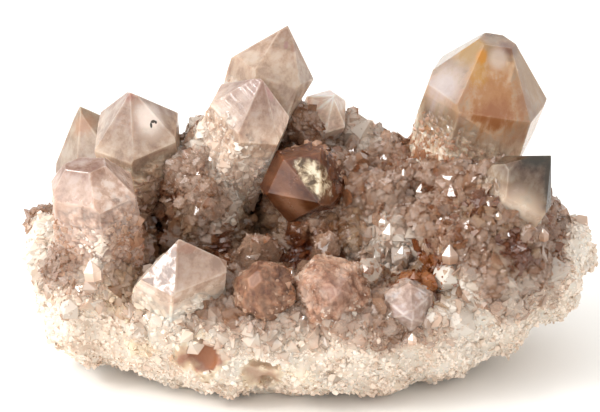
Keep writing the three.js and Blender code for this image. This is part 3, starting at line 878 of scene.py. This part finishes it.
def rock_material():
    """Milky massive quartz with a granular, weathered skin: cream-white and dull, browner between the
    crystals that cover its upper side, partly in its own colour and partly as painted shade, darker still
    with painted shade in the hollows, and stained by iron."""
    material, tree = new_material("milky_quartz_rock")
    where = add(tree, "ShaderNodeTexCoord").outputs["Object"]
    fine = add(tree, "ShaderNodeTexNoise", {"Vector": where, "Scale": 900.0, "Detail": 6.0, "Roughness": 0.7})
    coarse = add(tree, "ShaderNodeTexNoise", {"Vector": where, "Scale": 190.0, "Detail": 4.0})
    cells = add(tree, "ShaderNodeTexVoronoi", {"Vector": where, "Scale": 480.0})
    uneven = add(tree, "ShaderNodeMapRange", {
        "Value": coarse.outputs["Fac"], "From Min": 0.3, "From Max": 0.7, "To Min": -0.14, "To Max": 0.06})
    specks = add(tree, "ShaderNodeMapRange", {
        "Value": fine.outputs["Fac"], "From Min": 0.3, "From Max": 0.55, "To Min": -0.1, "To Max": 0.02})
    level = add(tree, "ShaderNodeMath", {0: attribute(tree, "lightness_and_painted_light"), 1: uneven})
    level = add(tree, "ShaderNodeMath", {0: level, 1: specks})
    base = add(tree, "ShaderNodeValToRGB", {"Fac": level}, ROCK_STOPS)
    height = add(tree, "ShaderNodeMath", {0: fine.outputs["Fac"], 1: cells.outputs["Distance"]},
                 operation="SUBTRACT")
    bump = add(tree, "ShaderNodeBump", {"Height": height, "Strength": 0.5, "Distance": 0.0004})
    shader = add(tree, "ShaderNodeBsdfPrincipled", {
        "Base Color": stained(tree, base), "Roughness": 0.5, "IOR": 1.5, "Subsurface Weight": 0.6,
        "Subsurface Scale": 0.0015, "Subsurface Radius": (1.0, 0.75, 0.6), "Normal": bump})
    return finish(material, tree, shader)


def in_crystal(tree, point):
    """The place in a point's own frame: its tip at the origin and its axis along +Z."""
    where = add(tree, "ShaderNodeTexCoord").outputs["Object"]
    turn = Matrix(turn_of(point).tolist()).to_euler("XYZ")
    return add(tree, "ShaderNodeMapping", {
        "Vector": where, "Location": Vector(point["tip"]) * MM, "Rotation": turn}, vector_type="TEXTURE")


def spot(tree, inner, cloud, centre, reach, edge=0.5, ragged=2.4):
    """1 inside a blot of the crystal and 0 outside: the distance from its centre over its reach along each
    axis, worn by the cloud."""
    near = add(tree, "ShaderNodeMapping", {
        "Vector": inner, "Location": Vector(centre) * MM, "Scale": Vector(reach) * MM}, vector_type="TEXTURE")
    far = add(tree, "ShaderNodeVectorMath", {0: near}, operation="LENGTH")
    worn = add(tree, "ShaderNodeMath", {0: cloud, 1: ragged, 2: far.outputs["Value"]},
               operation="MULTIPLY_ADD")
    rim = 1 + 0.5 * ragged
    return add(tree, "ShaderNodeMapRange", {
        "Value": worn, "From Min": rim - edge, "From Max": rim + edge, "To Min": 1.0, "To Max": 0.0},
        interpolation_type="SMOOTHSTEP")


def point_quartz(point, look):
    """Quartz of one large point: glassy natural faces over a body clouded by tiny inclusions. The colour lies
    in zones along the crystal's axis with darker veils and blots in it, fine growth lines cross its sides,
    and towards its foot it turns dull and deeper in colour where the druse begins. Its facets are lightened
    or darkened with painted light and shade, and its edges near the tip carry a painted highlight."""
    material, tree = new_material("quartz_" + point["name"])
    inner = in_crystal(tree, point)
    drawn = add(tree, "ShaderNodeMapping", {"Vector": inner, "Scale": (1, 1, look.get("streaks", 0.8))})
    clouds = add(tree, "ShaderNodeTexNoise", {
        "Vector": drawn, "Scale": look.get("clouds", 260.0), "Detail": 6.0, "Roughness": 0.68}).outputs["Fac"]
    depth = add(tree, "ShaderNodeSeparateXYZ", {0: inner}).outputs["Z"]
    share = add(tree, "ShaderNodeMapRange", {
        "Value": depth, "From Min": 0.0, "From Max": -point["length"] * MM, "To Min": -0.12, "To Max": 0.88})
    worn = add(tree, "ShaderNodeMath", {0: clouds, 1: 0.24, 2: share}, operation="MULTIPLY_ADD")
    base = add(tree, "ShaderNodeValToRGB", {"Fac": worn},
               [(place, linear(code)) for place, code in look["zones"]])
    mottle = add(tree, "ShaderNodeValToRGB", {"Fac": clouds}, [
        (0.38, linear("#a98468")), (0.5, linear("#ead8c8")), (0.6, linear("#ffffff"))])
    base = mixed(tree, look.get("cloudy", 0.55), base, mottle, "MULTIPLY")
    inset = attribute(tree, "inset")
    band = add(tree, "ShaderNodeValToRGB", {"Fac": add(tree, "ShaderNodeMapRange", {
        "Value": inset, "From Max": 4.0})}, [
        (0.0, (0, 0, 0, 1)), (0.07, (0, 0, 0, 1)), (0.14, (1, 1, 1, 1)), (0.5, (0, 0, 0, 1))])
    patchy = add(tree, "ShaderNodeTexNoise", {"Vector": inner, "Scale": 260.0, "Detail": 2.0}).outputs["Fac"]
    patchy = add(tree, "ShaderNodeMapRange", {"Value": patchy, "From Min": 0.42, "From Max": 0.62})
    share = add(tree, "ShaderNodeMath", {0: band, 1: patchy}, operation="MULTIPLY")
    share = add(tree, "ShaderNodeMath", {0: share, 1: look.get("veils", 0.4)}, operation="MULTIPLY")
    base = mixed(tree, share, base, mixed(tree, 1.0, base, linear("#b48a80"), "MULTIPLY"))
    # painted highlight: near the tip the edges of the facets are mixed towards near white
    rim = add(tree, "ShaderNodeMapRange", {
        "Value": inset, "From Min": 0.05, "From Max": 0.3, "To Min": look.get("rims", 0.4), "To Max": 0.0})
    high = add(tree, "ShaderNodeMapRange", {
        "Value": depth, "From Min": -0.6 * point["width"] * MM, "From Max": -0.25 * point["width"] * MM})
    rim = add(tree, "ShaderNodeMath", {0: rim, 1: high}, operation="MULTIPLY")
    base = mixed(tree, rim, base, linear("#fbf4ec"))
    see = look.get("clear", 0.4)
    if "chipped" in look:
        chips = attribute(tree, "chips")
        if "chip_spot" in look:
            struck = spot(tree, inner, clouds, *look["chip_spot"], 0.3)
            chips = add(tree, "ShaderNodeMath", {0: chips, 1: struck}, operation="MULTIPLY")
        cracks = add(tree, "ShaderNodeTexNoise", {
            "Vector": inner, "Scale": 420.0, "Detail": 4.0, "Roughness": 0.6, "Distortion": 0.4})
        shade = add(tree, "ShaderNodeValToRGB", {"Fac": cracks.outputs["Fac"]}, [
            (place, linear(code)) for place, code in zip((0.42, 0.48, 0.53, 0.6), look["chip_colours"])])
        base = mixed(tree, chips, base, shade)
        less = add(tree, "ShaderNodeMath", {0: chips, 1: see}, operation="MULTIPLY")
        see = add(tree, "ShaderNodeMath", {0: see, 1: less}, operation="SUBTRACT")
    for mark in look.get("marks", ()):
        inside = spot(tree, inner, clouds, mark["at"], mark["reach"], mark.get("edge", 0.35),
                      mark.get("ragged", 2.4))
        strong = add(tree, "ShaderNodeMath", {0: inside, 1: mark.get("strength", 0.8)}, operation="MULTIPLY")
        base = mixed(tree, strong, base, linear(mark["colour"]))
        less = add(tree, "ShaderNodeMath", {0: strong, 1: see}, operation="MULTIPLY")
        see = add(tree, "ShaderNodeMath", {0: see, 1: less}, operation="SUBTRACT")
    # painted light and shade: each facet's colour is scaled by a value of its own, lighter or darker as the
    # light falls on it
    base = mixed(tree, 1.0, base, add(tree, "ShaderNodeCombineColor", {
        key: attribute(tree, "painted_shading") for key in ("Red", "Green", "Blue")}), "MULTIPLY")
    frost = add(tree, "ShaderNodeMapRange", {
        "Value": depth, "From Min": -(point["bare"] - 5) * MM, "From Max": -(point["bare"] + 3) * MM})
    frosty = add(tree, "ShaderNodeMath", {0: clouds, 1: frost}, operation="MULTIPLY")
    see = add(tree, "ShaderNodeMath", {0: see, 1: frosty}, operation="SUBTRACT", use_clamp=True)
    lines = add(tree, "ShaderNodeMapping", {"Vector": inner, "Scale": (60.0, 60.0, 1400.0)})
    steps = add(tree, "ShaderNodeTexNoise", {"Vector": lines, "Scale": 1.0, "Detail": 3.0}).outputs["Fac"]
    grains = add(tree, "ShaderNodeTexNoise", {"Vector": inner, "Scale": 1100.0, "Detail": 3.0}).outputs["Fac"]
    rough_part = add(tree, "ShaderNodeMath", {0: grains, 1: frosty}, operation="MULTIPLY")
    height = add(tree, "ShaderNodeMath", {0: steps, 1: 0.25, 2: rough_part}, operation="MULTIPLY_ADD")
    bump = add(tree, "ShaderNodeBump", {"Height": height, "Strength": 0.5, "Distance": 0.0004})
    rough = add(tree, "ShaderNodeMath", {0: frosty, 1: 0.6, 2: look.get("rough", 0.1)},
                operation="MULTIPLY_ADD")
    shader = add(tree, "ShaderNodeBsdfPrincipled", {
        "Base Color": base, "Roughness": rough, "IOR": 1.544, "Transmission Weight": see,
        "Subsurface Weight": 0.7, "Subsurface Scale": 0.003, "Subsurface Radius": (1.0, 0.75, 0.6),
        "Normal": bump})
    volume = add(tree, "ShaderNodeVolumeAbsorption", {
        "Color": linear(look.get("fog", "#e8c9b4")), "Density": 22.0})
    return finish(material, tree, shader, Volume=volume)


# How each large point looks. zones are its colours from the tip down, at shares of its length. tints make
# facets lighter or darker with painted light and shade, by facet: tip faces 0 to 5, side faces -6 to -1.
# clear is how see-through it is, fog the colour of its depth and rough its gloss. clouds is how fine its
# clouds are, cloudy how strong, and streaks how little they are drawn out along it. veils is how dark the
# veils beside its edges are, and rims how strong the painted highlight along its edges near the tip is.
# chipped says how splintered a facet is, chip_spot where, and chip_colours run from the cracks to the
# splinters. marks are
# blots in its own frame: place, reach along each axis, colour, strength, and how soft and how ragged the edge
# is.
LOOKS = {
    "left_rear": dict(
        zones=[(0.0, "#b09c84"), (0.12, "#b6a48d"), (0.3, "#bcaa98"), (0.55, "#bead9d"), (0.9, "#a68c74")],
        rims=0.15,
        marks=[dict(at=(-2, -2, -3.4), reach=(3, 3, 2), colour="#94684a", strength=0.7, edge=0.6)]),
    "left_tall": dict(
        zones=[(0.0, "#baa596"), (0.1, "#bfaa9d"), (0.3, "#c4b2a3"), (0.45, "#c8b49f"), (0.6, "#dcc2a8"),
               (0.8, "#ccaa8a")],
        painted_shadings={5: 1.2}, rims=0.15,
        # painted highlight: the first mark is a pale window on the right facet
        marks=[dict(at=(3.8, -3.2, -5.4), reach=(2.6, 3, 3.4), colour="#fbf4ec", strength=0.5, edge=0.6),
               dict(at=(0, -0.8, -1.2), reach=(1.2, 1.2, 1.1), colour="#7c544a", strength=0.8, edge=0.5),
               dict(at=(4.05, -3.95, -6.75), reach=(0.24, 0.5, 0.8), colour="#3c342c", strength=1, edge=0.2,
                    ragged=0.5),
               dict(at=(4.5, -3.4, -6.2), reach=(0.55, 0.4, 0.3), colour="#3c342c", strength=1, edge=0.2,
                    ragged=0.5),
               dict(at=(5, -3.3, -6.5), reach=(0.24, 0.3, 0.4), colour="#3c342c", strength=1, edge=0.2,
                    ragged=0.5)]),
    "left_front": dict(
        zones=[(0.0, "#936952"), (0.12, "#a37a65"), (0.19, "#c3ac9f"), (0.5, "#c1a99c"), (0.9, "#bda090")],
        rims=0.15, chipped={5: 0.35}, chip_colours=("#a88670", "#ccae98", "#e6d0c1", "#f3e9e0")),
    "middle_front": dict(
        zones=[(0.0, "#8a6558"), (0.06, "#b19386"), (0.2, "#c7b1a2"), (0.35, "#d3bca9"), (0.6, "#e0cbbb"),
               (0.9, "#d8bba4")],
        painted_shadings={4: 1.1, 5: 1.45}, rims=0.15,
        marks=[dict(at=(1.2, -1.6, -3.4), reach=(1.1, 1.1, 3), colour="#946a66", strength=0.6)]),
    "middle_rear": dict(
        zones=[(0.0, "#b59783"), (0.08, "#c6af9c"), (0.2, "#d1beab"), (0.5, "#d1bead"), (0.9, "#b5977f")],
        rims=0.15,
        marks=[dict(at=(-1, -2.6, -4.2), reach=(0.5, 0.5, 2.6), colour="#8e6a68", strength=0.7),
               dict(at=(0.4, -3.6, -4), reach=(0.7, 0.7, 2.8), colour="#86614f", strength=0.7)]),
    "ridge": dict(zones=[(0.0, "#f1e6dc"), (0.3, "#ecdccf"), (0.6, "#e6d0bf"), (0.9, "#d0b29c")], clear=0.2,
                  fog="#f6ece4", painted_shadings={3: 1.2, 4: 1.2, 5: 1.2}),
    "smoky": dict(
        zones=[(0.0, "#7c5030"), (0.3, "#744728"), (0.6, "#6c4022"), (0.95, "#5c3418")],
        painted_shadings={2: 1.0, 0: 1.2, 5: 1.2, 3: 0.95}, clear=0.5, fog="#c08a60", rims=0.05, cloudy=0.9, clouds=330,
        chipped={1: 0.95, 0: 0.9}, chip_spot=((2.3, 3.8, -5.2), (2.8, 4.4, 4)), streaks=0.5,
        chip_colours=("#54422e", "#8c7860", "#bbaa8e", "#dcd0b8"),
        marks=[dict(at=(-4.6, 1.4, -6), reach=(2.2, 3.4, 3), colour="#a87c60", strength=0.6, edge=0.6),
               dict(at=(-2.8, -5.4, -6.4), reach=(4, 1.6, 3), colour="#74301c", strength=0.6, edge=0.6)]),
    "large_right": dict(
        zones=[(0.0, "#ccb190"), (0.3, "#d0b596"), (0.55, "#dcc2a6"), (0.75, "#f2dcc4"), (0.95, "#f2dcc4")],
        clear=0.7, rough=0.03, veils=0.3, rims=0.2, clouds=400, streaks=0.4, painted_shadings={3: 0.9, 5: 0.9},
        marks=[dict(at=(-12.2, 0.5, -13.6), reach=(3.8, 3.8, 4.6), colour="#b0a8aa", strength=0.7, edge=0.6),
               dict(at=(-5.4, -8.2, -13.2), reach=(6.2, 5.8, 7.2), colour="#94602f", strength=0.85, edge=0.5),
               dict(at=(-5.6, -9.8, -15.8), reach=(4.2, 3, 2.8), colour="#84502f", strength=0.7, edge=0.5),
               dict(at=(1.3, -10.6, -12.7), reach=(2.2, 2.2, 4), colour="#845c42", strength=0.75, edge=0.6),
               dict(at=(-6.1, 1.4, -6.5), reach=(3.4, 3.6, 3.2), colour="#8a6410", strength=0.95, edge=0.6,
                    ragged=1.4),
               dict(at=(-7, -3.4, -9.4), reach=(1.8, 1.8, 4.2), colour="#a4762c", strength=0.75, edge=0.6),
               dict(at=(-5.6, -1.8, -6.2), reach=(1.1, 1.1, 3.2), colour="#ac7216", strength=0.95, edge=0.4,
                    ragged=1.2),
               dict(at=(1, -2.4, -5.1), reach=(3.4, 2.6, 1.2), colour="#5a3020", strength=0.95, edge=0.5,
                    ragged=1.2),
               dict(at=(6.8, -5.4, -10.6), reach=(5.4, 5.4, 9.6), colour="#94734c", strength=0.85, edge=0.7,
                    ragged=1.6),
               dict(at=(-2.4, -3.2, -6.6), reach=(1.9, 1.9, 2.4), colour="#b8a698", strength=0.75, edge=0.5,
                    ragged=1.0)]),
    "dark_right": dict(
        zones=[(0.0, "#463c30"), (0.15, "#665846"), (0.35, "#847060"), (0.6, "#a4927e"), (0.95, "#bfb2a0")],
        painted_shadings={2: 0.5, 5: 0.4}, clear=0.5, fog="#c4b29a", rims=0.05, cloudy=0.9, clouds=260,
        marks=[dict(at=(-4.2, -5.6, -12.6), reach=(4.5, 4.5, 4), colour="#cdb9a6", strength=0.6, edge=0.6),
               dict(at=(-2, 0.4, -3), reach=(4.6, 1.9, 2.6), colour="#262014", strength=0.95, edge=0.5,
                    ragged=1.3),
               dict(at=(0.8, -3, -4.8), reach=(1.2, 6, 5.6), colour="#2c2418", strength=0.9, edge=0.5,
                    ragged=1.3)]),
    "front_left": dict(
        zones=[(0.0, "#c2a999"), (0.2, "#c8b0a0"), (0.4, "#d0b9a9"), (0.6, "#d5c3b4"), (0.9, "#dacfc1")],
        rims=0.2, chipped={4: 0.9}, chip_colours=("#6c5244", "#a08a7e", "#c8b6b2", "#e4dcde"),
        marks=[dict(at=(1.6, -2.6, -2.6), reach=(2.6, 1.2, 1), colour="#8a5f4c", strength=0.6, edge=0.25)]),
    "front_mid": dict(zones=[(0.0, "#936f59"), (0.9, "#8c6951")], rough=0.3, rims=0, cloudy=1, clouds=330),
    "front_centre": dict(zones=[(0.0, "#9f8275"), (0.4, "#b59480"), (0.9, "#ad9076")], rough=0.3, rims=0,
                         cloudy=1, clouds=330),
    "front_right": dict(zones=[(0.0, "#c0b2ae"), (0.5, "#b7a69d"), (0.9, "#a69082")], rough=0.2, rims=0.1,
                        cloudy=0.8, clouds=330),
}
SLOTS = dict(smoky="smoky_quartz", dark_right="smoky_quartz", front_mid="smoky_quartz",
             large_right="clear_quartz")


# Settings that a user would change

class SpecimenSizes(bpy.types.PropertyGroup):
    """Sizes of the small crystals and of the rock's grid."""
    rock_grid: FloatProperty(
        name="Rock grid", description="Spacing of the places on the rock's skin",
        default=0.72 * MM, min=0.3 * MM, unit="LENGTH")
    druse_width: FloatProperty(
        name="Druse width", description="Typical width of a crystal of the druse",
        default=2.1 * MM, min=0.5 * MM, unit="LENGTH")
    fine_width: FloatProperty(
        name="Fine druse width", description="Typical width of the finest crystals",
        default=1.1 * MM, min=0.3 * MM, unit="LENGTH")
    edge_wear: FloatProperty(
        name="Edge wear", description="Width of the worn edges of the large points",
        default=0.14 * MM, min=0.01 * MM, unit="LENGTH")
    grain_width: FloatProperty(
        name="Grain width", description="Typical width of the rock's white grains",
        default=0.95 * MM, min=0.3 * MM, unit="LENGTH")
    seed: IntProperty(name="Seed", description="Start of every random draw", default=7, min=0)


class SpecimenLook(bpy.types.PropertyGroup):
    """Colours and light of the stage."""
    floor_colour: FloatVectorProperty(
        name="Floor", description="Colour of the floor", default=linear("#f5f3ef")[:3], size=3,
        subtype="COLOR", min=0, max=1)
    key_power: FloatProperty(
        name="Key light", description="Power of the large light on the left", default=3.1, min=0,
        unit="POWER")
    front_power: FloatProperty(
        name="Front light", description="Power of the light that shines in the front facets", default=0.55,
        min=0, unit="POWER")
    spark_power: FloatProperty(
        name="Spark", description="Power of the small light that glints in the druse", default=1.0, min=0,
        unit="POWER")
    sky: FloatProperty(
        name="Surroundings", description="Brightness of the white studio around", default=1.18, min=0)


def lamp_place(angles):
    """The place of a lamp at these angles."""
    turn, lift = np.radians(angles)
    return LIT + LAMP_FAR * np.array([
        math.sin(turn) * math.cos(lift), -math.cos(turn) * math.cos(lift), math.sin(lift)])


# Operators, one for each kind of piece

class SPECIMEN_OT_stage(bpy.types.Operator):
    """Sets up the camera at the photograph's angle, the pale floor and the soft lights"""
    bl_idname = "specimen.stage"
    bl_label = "Stage"

    def execute(self, context):
        look = context.scene.specimen_look
        camera = bpy.data.objects.new("camera", bpy.data.cameras.new("camera"))
        camera.location = CAMERA * MM
        camera.rotation_euler = (math.radians(90) - CAMERA_RISE, 0, 0)
        camera.data.sensor_width = SENSOR
        camera.data.lens = LENS
        camera.data.clip_start = 0.01
        context.scene.collection.objects.link(camera)
        context.scene.camera = camera

        floor = bpy.data.meshes.new("floor")
        floor.from_pydata([(-3, -3, 0), (3, -3, 0), (3, 3, 0), (-3, 3, 0)], [], [(0, 1, 2, 3)])
        paper, tree = new_material("white_paper")
        shader = add(tree, "ShaderNodeBsdfPrincipled", {
            "Base Color": tuple(look.floor_colour) + (1,), "Roughness": 0.7, "Specular IOR Level": 0.2})
        floor.materials.append(finish(paper, tree, shader))
        ground = bpy.data.objects.new("floor", floor)
        context.scene.collection.objects.link(ground)

        for name, angles, size, power in (
                ("key", KEY, 600, look.key_power),
                ("front", FRONT, 150, look.front_power),
                ("spark", SPARK, 120, look.spark_power)):
            light = bpy.data.lights.new(name, "AREA")
            light.size = size * MM
            light.energy = power
            lamp = bpy.data.objects.new(name, light)
            lamp.location = lamp_place(angles) * MM
            lamp.rotation_euler = Vector(lamp_place(angles) - LIT).to_track_quat("Z", "Y").to_euler()
            context.scene.collection.objects.link(lamp)

        world = bpy.data.worlds.new("white_studio")
        world.use_nodes = True
        world.node_tree.nodes["Background"].inputs["Color"].default_value = (1, 1, 1, 1)
        world.node_tree.nodes["Background"].inputs["Strength"].default_value = look.sky
        context.scene.world = world
        context.scene.view_settings.view_transform = "Standard"
        return {"FINISHED"}


class SPECIMEN_OT_rock(bpy.types.Operator):
    """Makes the rock: all its lumps in one weathered, granular skin"""
    bl_idname = "specimen.rock"
    bl_label = "Rock"

    def execute(self, context):
        skin = rock_skin()
        places = skin["places"]
        # painted shade: the skin is a little darker where the druse covers it
        values = {"rust": rust(places), "lightness_and_painted_light": np.clip(lightness_and_painted_light(places) - 0.08 * blush(places), 0, 1)}
        rock = piece_from("rock", places, skin["corners"], skin["counts"], values, rock_material(),
                          "matrix_rock", smooth=True)
        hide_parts("matrix")
        return {"FINISHED"}


class SPECIMEN_OT_points(bpy.types.Operator):
    """Makes the large points, each facet by facet, with fine worn edges"""
    bl_idname = "specimen.points"
    bl_label = "Large points"

    def execute(self, context):
        for point in POINTS:
            look = LOOKS[point["name"]]
            places, corners, counts, values = body_of(point, look)
            piece = piece_from(point["name"], out_of_point(places, point), corners, counts, values,
                               point_quartz(point, look), SLOTS.get(point["name"], "pale_quartz"))
            edges = piece.modifiers.new("worn edges", "BEVEL")
            edges.width = context.scene.specimen_sizes.edge_wear
            edges.segments = 2
            solid = SOLIDS.get(point["name"], point["name"] + "_point")
            if solid:
                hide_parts(solid)
        return {"FINISHED"}


class SPECIMEN_OT_carpet(bpy.types.Operator):
    """Grows the medium crystals that stand out of the rock, with fine ones on them"""
    bl_idname = "specimen.carpet"
    bl_label = "Medium crystals"

    def execute(self, context):
        sizes = context.scene.specimen_sizes
        draws = np.random.default_rng(sizes.seed + 1)
        tips, ways, spins, widths = (np.concatenate(part) for part in zip(
            *(carpet(lump, seed) for seed, lump in enumerate(LUMPS))))
        spun = np.stack([stance(0, 0, math.degrees(spin)) for spin in spins])
        turns = np.concatenate([turn_to(ways) @ spun, [stance(*spec[1:4]) for spec in MEDIUM]])
        tips = np.concatenate([tips - ways * 0.1 * widths[:, None], [spec[0] for spec in MEDIUM]])
        lighter = np.concatenate([np.zeros(len(ways)), [spec[5] for spec in MEDIUM]])
        widths = np.concatenate([0.9 * widths, [spec[4] for spec in MEDIUM]])
        grown = crystal_pieces("medium_crystals", tips, turns, widths, widths * BUD_LENGTH, draws,
                               druse_quartz("medium_druse_quartz", 0.25, 0.72, 0.1), "pale_quartz", lighter,
                               uneven=0.14)
        places, normals = facet_sites(*grown, 1.1, draws)
        keep = np.min([lump_share(places, lump) for lump in LUMPS], axis=0) > 1
        keep &= (outside_points(places) > 0) & (draws.random(len(places)) < 0.75) & (places[:, 2] > 10)
        places, normals = places[keep], normals[keep]
        widths = sizes.fine_width / MM * (0.5 + 0.9 * draws.random(len(places)) ** 2)
        ways, turns = tilted(normals, 0.35, draws)
        tips = places + ways * widths[:, None] * 0.3
        crystal_pieces("fine_crystals_on_medium", tips, turns, widths, widths, draws,
                       druse_quartz("fine_druse_quartz", 0.25, 0.72), "pale_quartz", 0.04, fine=True)
        return {"FINISHED"}


class SPECIMEN_OT_druse(bpy.types.Operator):
    """Covers the rock's upper side with small and fine crystals"""
    bl_idname = "specimen.druse"
    bl_label = "Druse"

    def execute(self, context):
        sizes = context.scene.specimen_sizes
        material = druse_quartz("druse_quartz", 0.2, 0.72)
        for name, width, spacing, spread, seed in (
                ("druse", sizes.druse_width / MM, 1.35, 0.36, 2),
                ("fine_druse", sizes.fine_width / MM, 0.9, 0.5, 3)):
            draws = np.random.default_rng(sizes.seed + seed)
            places, normals = skin_sites(spacing, draws, 6)
            coarse = name == "druse"
            fade, low = (9, 1) if coarse else (4, 4)
            keep = over_border(places) > fade * draws.random(len(places)) - low
            keep &= outside_points(places) > -0.4
            places, normals = places[keep], normals[keep]
            widths = width * (0.6 + 0.9 * draws.random(len(places)) ** 2) * (1 + 0.25 * noise(places, 8, 41))
            ways, turns = tilted(normals, spread, draws)
            tips = places + ways * (widths * (0.3 + 0.35 * draws.random(len(places))))[:, None]
            crystal_pieces(name, tips, turns, widths, widths * 1.4, draws, material, "pale_quartz",
                           fine=not coarse)
        return {"FINISHED"}


class SPECIMEN_OT_coats(bpy.types.Operator):
    """Coats the shanks of the large points with a grown-on crust and small crystals on it"""
    bl_idname = "specimen.coats"
    bl_label = "Crystals on the points"

    def execute(self, context):
        draws = np.random.default_rng(context.scene.specimen_sizes.seed + 5)
        rows = []
        for point in POINTS:
            places, corners, counts, bumps = crust_of(point)
            # painted shade: the crust is darker in the seams between its grains and lighter on their tops
            values = {"painted_shading": 0.72 + 0.4 * ease(0.2, 0.8, bumps), "inset": np.full(len(places), FAR_IN)}
            piece_from(point["name"] + "_crust", places, corners, counts, values,
                       bpy.data.materials["quartz_" + point["name"]], SLOTS.get(point["name"], "pale_quartz"))
            sites, normals = facet_sites(places, corners, counts, 0.95, draws)
            past = past_border(into_point(sites, point), point)
            keep = (past > 2 + 5 * draws.random(len(past))) & (sites[:, 2] > 8)
            keep &= point_depth(sites, point) > 0
            for other in POINTS:
                if other is not point:
                    keep &= point_depth(sites, other) > 0.3
            sites, normals, past = sites[keep], normals[keep], past[keep]
            ways, turns = tilted(unit(normals + 0.4 * turn_of(point)[:, 2]), 0.3, draws)
            grown = 0.3 + 1.1 * draws.random(len(sites)) ** 3
            widths = point.get("coat", 1) * (0.5 + ease(0, 9, past) * grown)
            tips = sites + ways * (widths * (0.05 + 0.3 * draws.random(len(sites))))[:, None]
            rows.append((tips, turns, widths, point.get("light", 0.12) - 0.1 - 0.12 * ease(3, 14, past)))
        tips, turns, widths, lighter = (np.concatenate(part) for part in zip(*rows))
        crystal_pieces("shank_druse", tips, turns, widths, widths, draws,
                       druse_quartz("shank_druse_quartz", 0.3, 0.55, 0.1), "pale_quartz", lighter, fine=True)
        return {"FINISHED"}


class SPECIMEN_OT_glints(bpy.types.Operator):
    """Adds the crystals with a tip face turned so that it mirrors the small light to the camera"""
    bl_idname = "specimen.glints"
    bl_label = "Glinting crystals"

    def execute(self, context):
        draws = np.random.default_rng(context.scene.specimen_sizes.seed + 8)
        places = np.array([place for place, _ in GLINTS], float)
        widths = np.array([width for _, width in GLINTS], float)
        halfway = unit(unit(lamp_place(SPARK) - places) + unit(CAMERA - places))
        face = np.array([[math.cos(math.pi / 6) * math.sin(SLOPE), 0.5 * math.sin(SLOPE), math.cos(SLOPE)]])
        flat = np.linalg.inv(turn_to(face)[0])
        spins = np.stack([stance(0, 0, angle) for angle in range(0, 360, 15)])
        turns = np.einsum("nij,sjk,kl->nsil", turn_to(halfway), spins, flat)
        best = turns[:, :, 2, 2].argmax(1)
        turns = turns[np.arange(len(places)), best]
        crystal_pieces("glinting_crystals", places, turns, widths, widths * 1.2, draws,
                       druse_quartz("glassy_druse_quartz", 0.1, 0.6), "pale_quartz", 0.1, uneven=0.0,
                       ridge=0.03)
        return {"FINISHED"}


class SPECIMEN_OT_grains(bpy.types.Operator):
    """Strews the white grains over the lower rock"""
    bl_idname = "specimen.grains"
    bl_label = "White grains"

    def execute(self, context):
        sizes = context.scene.specimen_sizes
        material = druse_quartz("white_grain_quartz", 0.4, 0.3, 0.1)
        for name, width, spacing, share, seed in (
                ("grains", 1.0, 1.2, 0.5, 9), ("fine_grains", 0.7, 0.9, 0.8, 10)):
            draws = np.random.default_rng(sizes.seed + seed)
            places, normals = skin_sites(spacing, draws, 1.2)
            keep = (blush(places) < 0.8) & (rust(places) < 0.35) & (draws.random(len(places)) < share)
            places, normals = places[keep], normals[keep]
            ways, turns = tilted(normals, 0.8, draws)
            widths = width * sizes.grain_width / MM * (0.6 + 0.8 * draws.random(len(places)) ** 2)
            tips = places + ways * (widths * (0.1 + 0.25 * draws.random(len(places))))[:, None]
            tips[:, 2] = np.maximum(tips[:, 2], 1.35 * widths)
            crystal_pieces(name, tips, turns, widths, widths, draws, material, "matrix_rock", uneven=0.25,
                           fine=name == "fine_grains")
        return {"FINISHED"}


class SPECIMEN_PT_panel(bpy.types.Panel):
    """Lists the steps that build the specimen"""
    bl_label = "Amethyst specimen"
    bl_idname = "SPECIMEN_PT_panel"
    bl_space_type = "VIEW_3D"
    bl_region_type = "UI"
    bl_category = "Specimen"

    def draw(self, context):
        for group in (context.scene.specimen_sizes, context.scene.specimen_look):
            for key in type(group).__annotations__:
                self.layout.prop(group, key)
        for step in STEPS:
            self.layout.operator(step.bl_idname)


STEPS = (SPECIMEN_OT_stage, SPECIMEN_OT_rock, SPECIMEN_OT_points, SPECIMEN_OT_carpet, SPECIMEN_OT_druse,
         SPECIMEN_OT_coats, SPECIMEN_OT_glints, SPECIMEN_OT_grains)
CLASSES = (SpecimenSizes, SpecimenLook, *STEPS, SPECIMEN_PT_panel)


def register():
    for kind in CLASSES:
        bpy.utils.register_class(kind)
    bpy.types.Scene.specimen_sizes = PointerProperty(type=SpecimenSizes)
    bpy.types.Scene.specimen_look = PointerProperty(type=SpecimenLook)


def unregister():
    del bpy.types.Scene.specimen_look
    del bpy.types.Scene.specimen_sizes
    for kind in reversed(CLASSES):
        bpy.utils.unregister_class(kind)


def main():
    register()
    for step in STEPS:
        group, name = step.bl_idname.split(".")
        getattr(getattr(bpy.ops, group), name)()


if __name__ == "__main__":
    main()
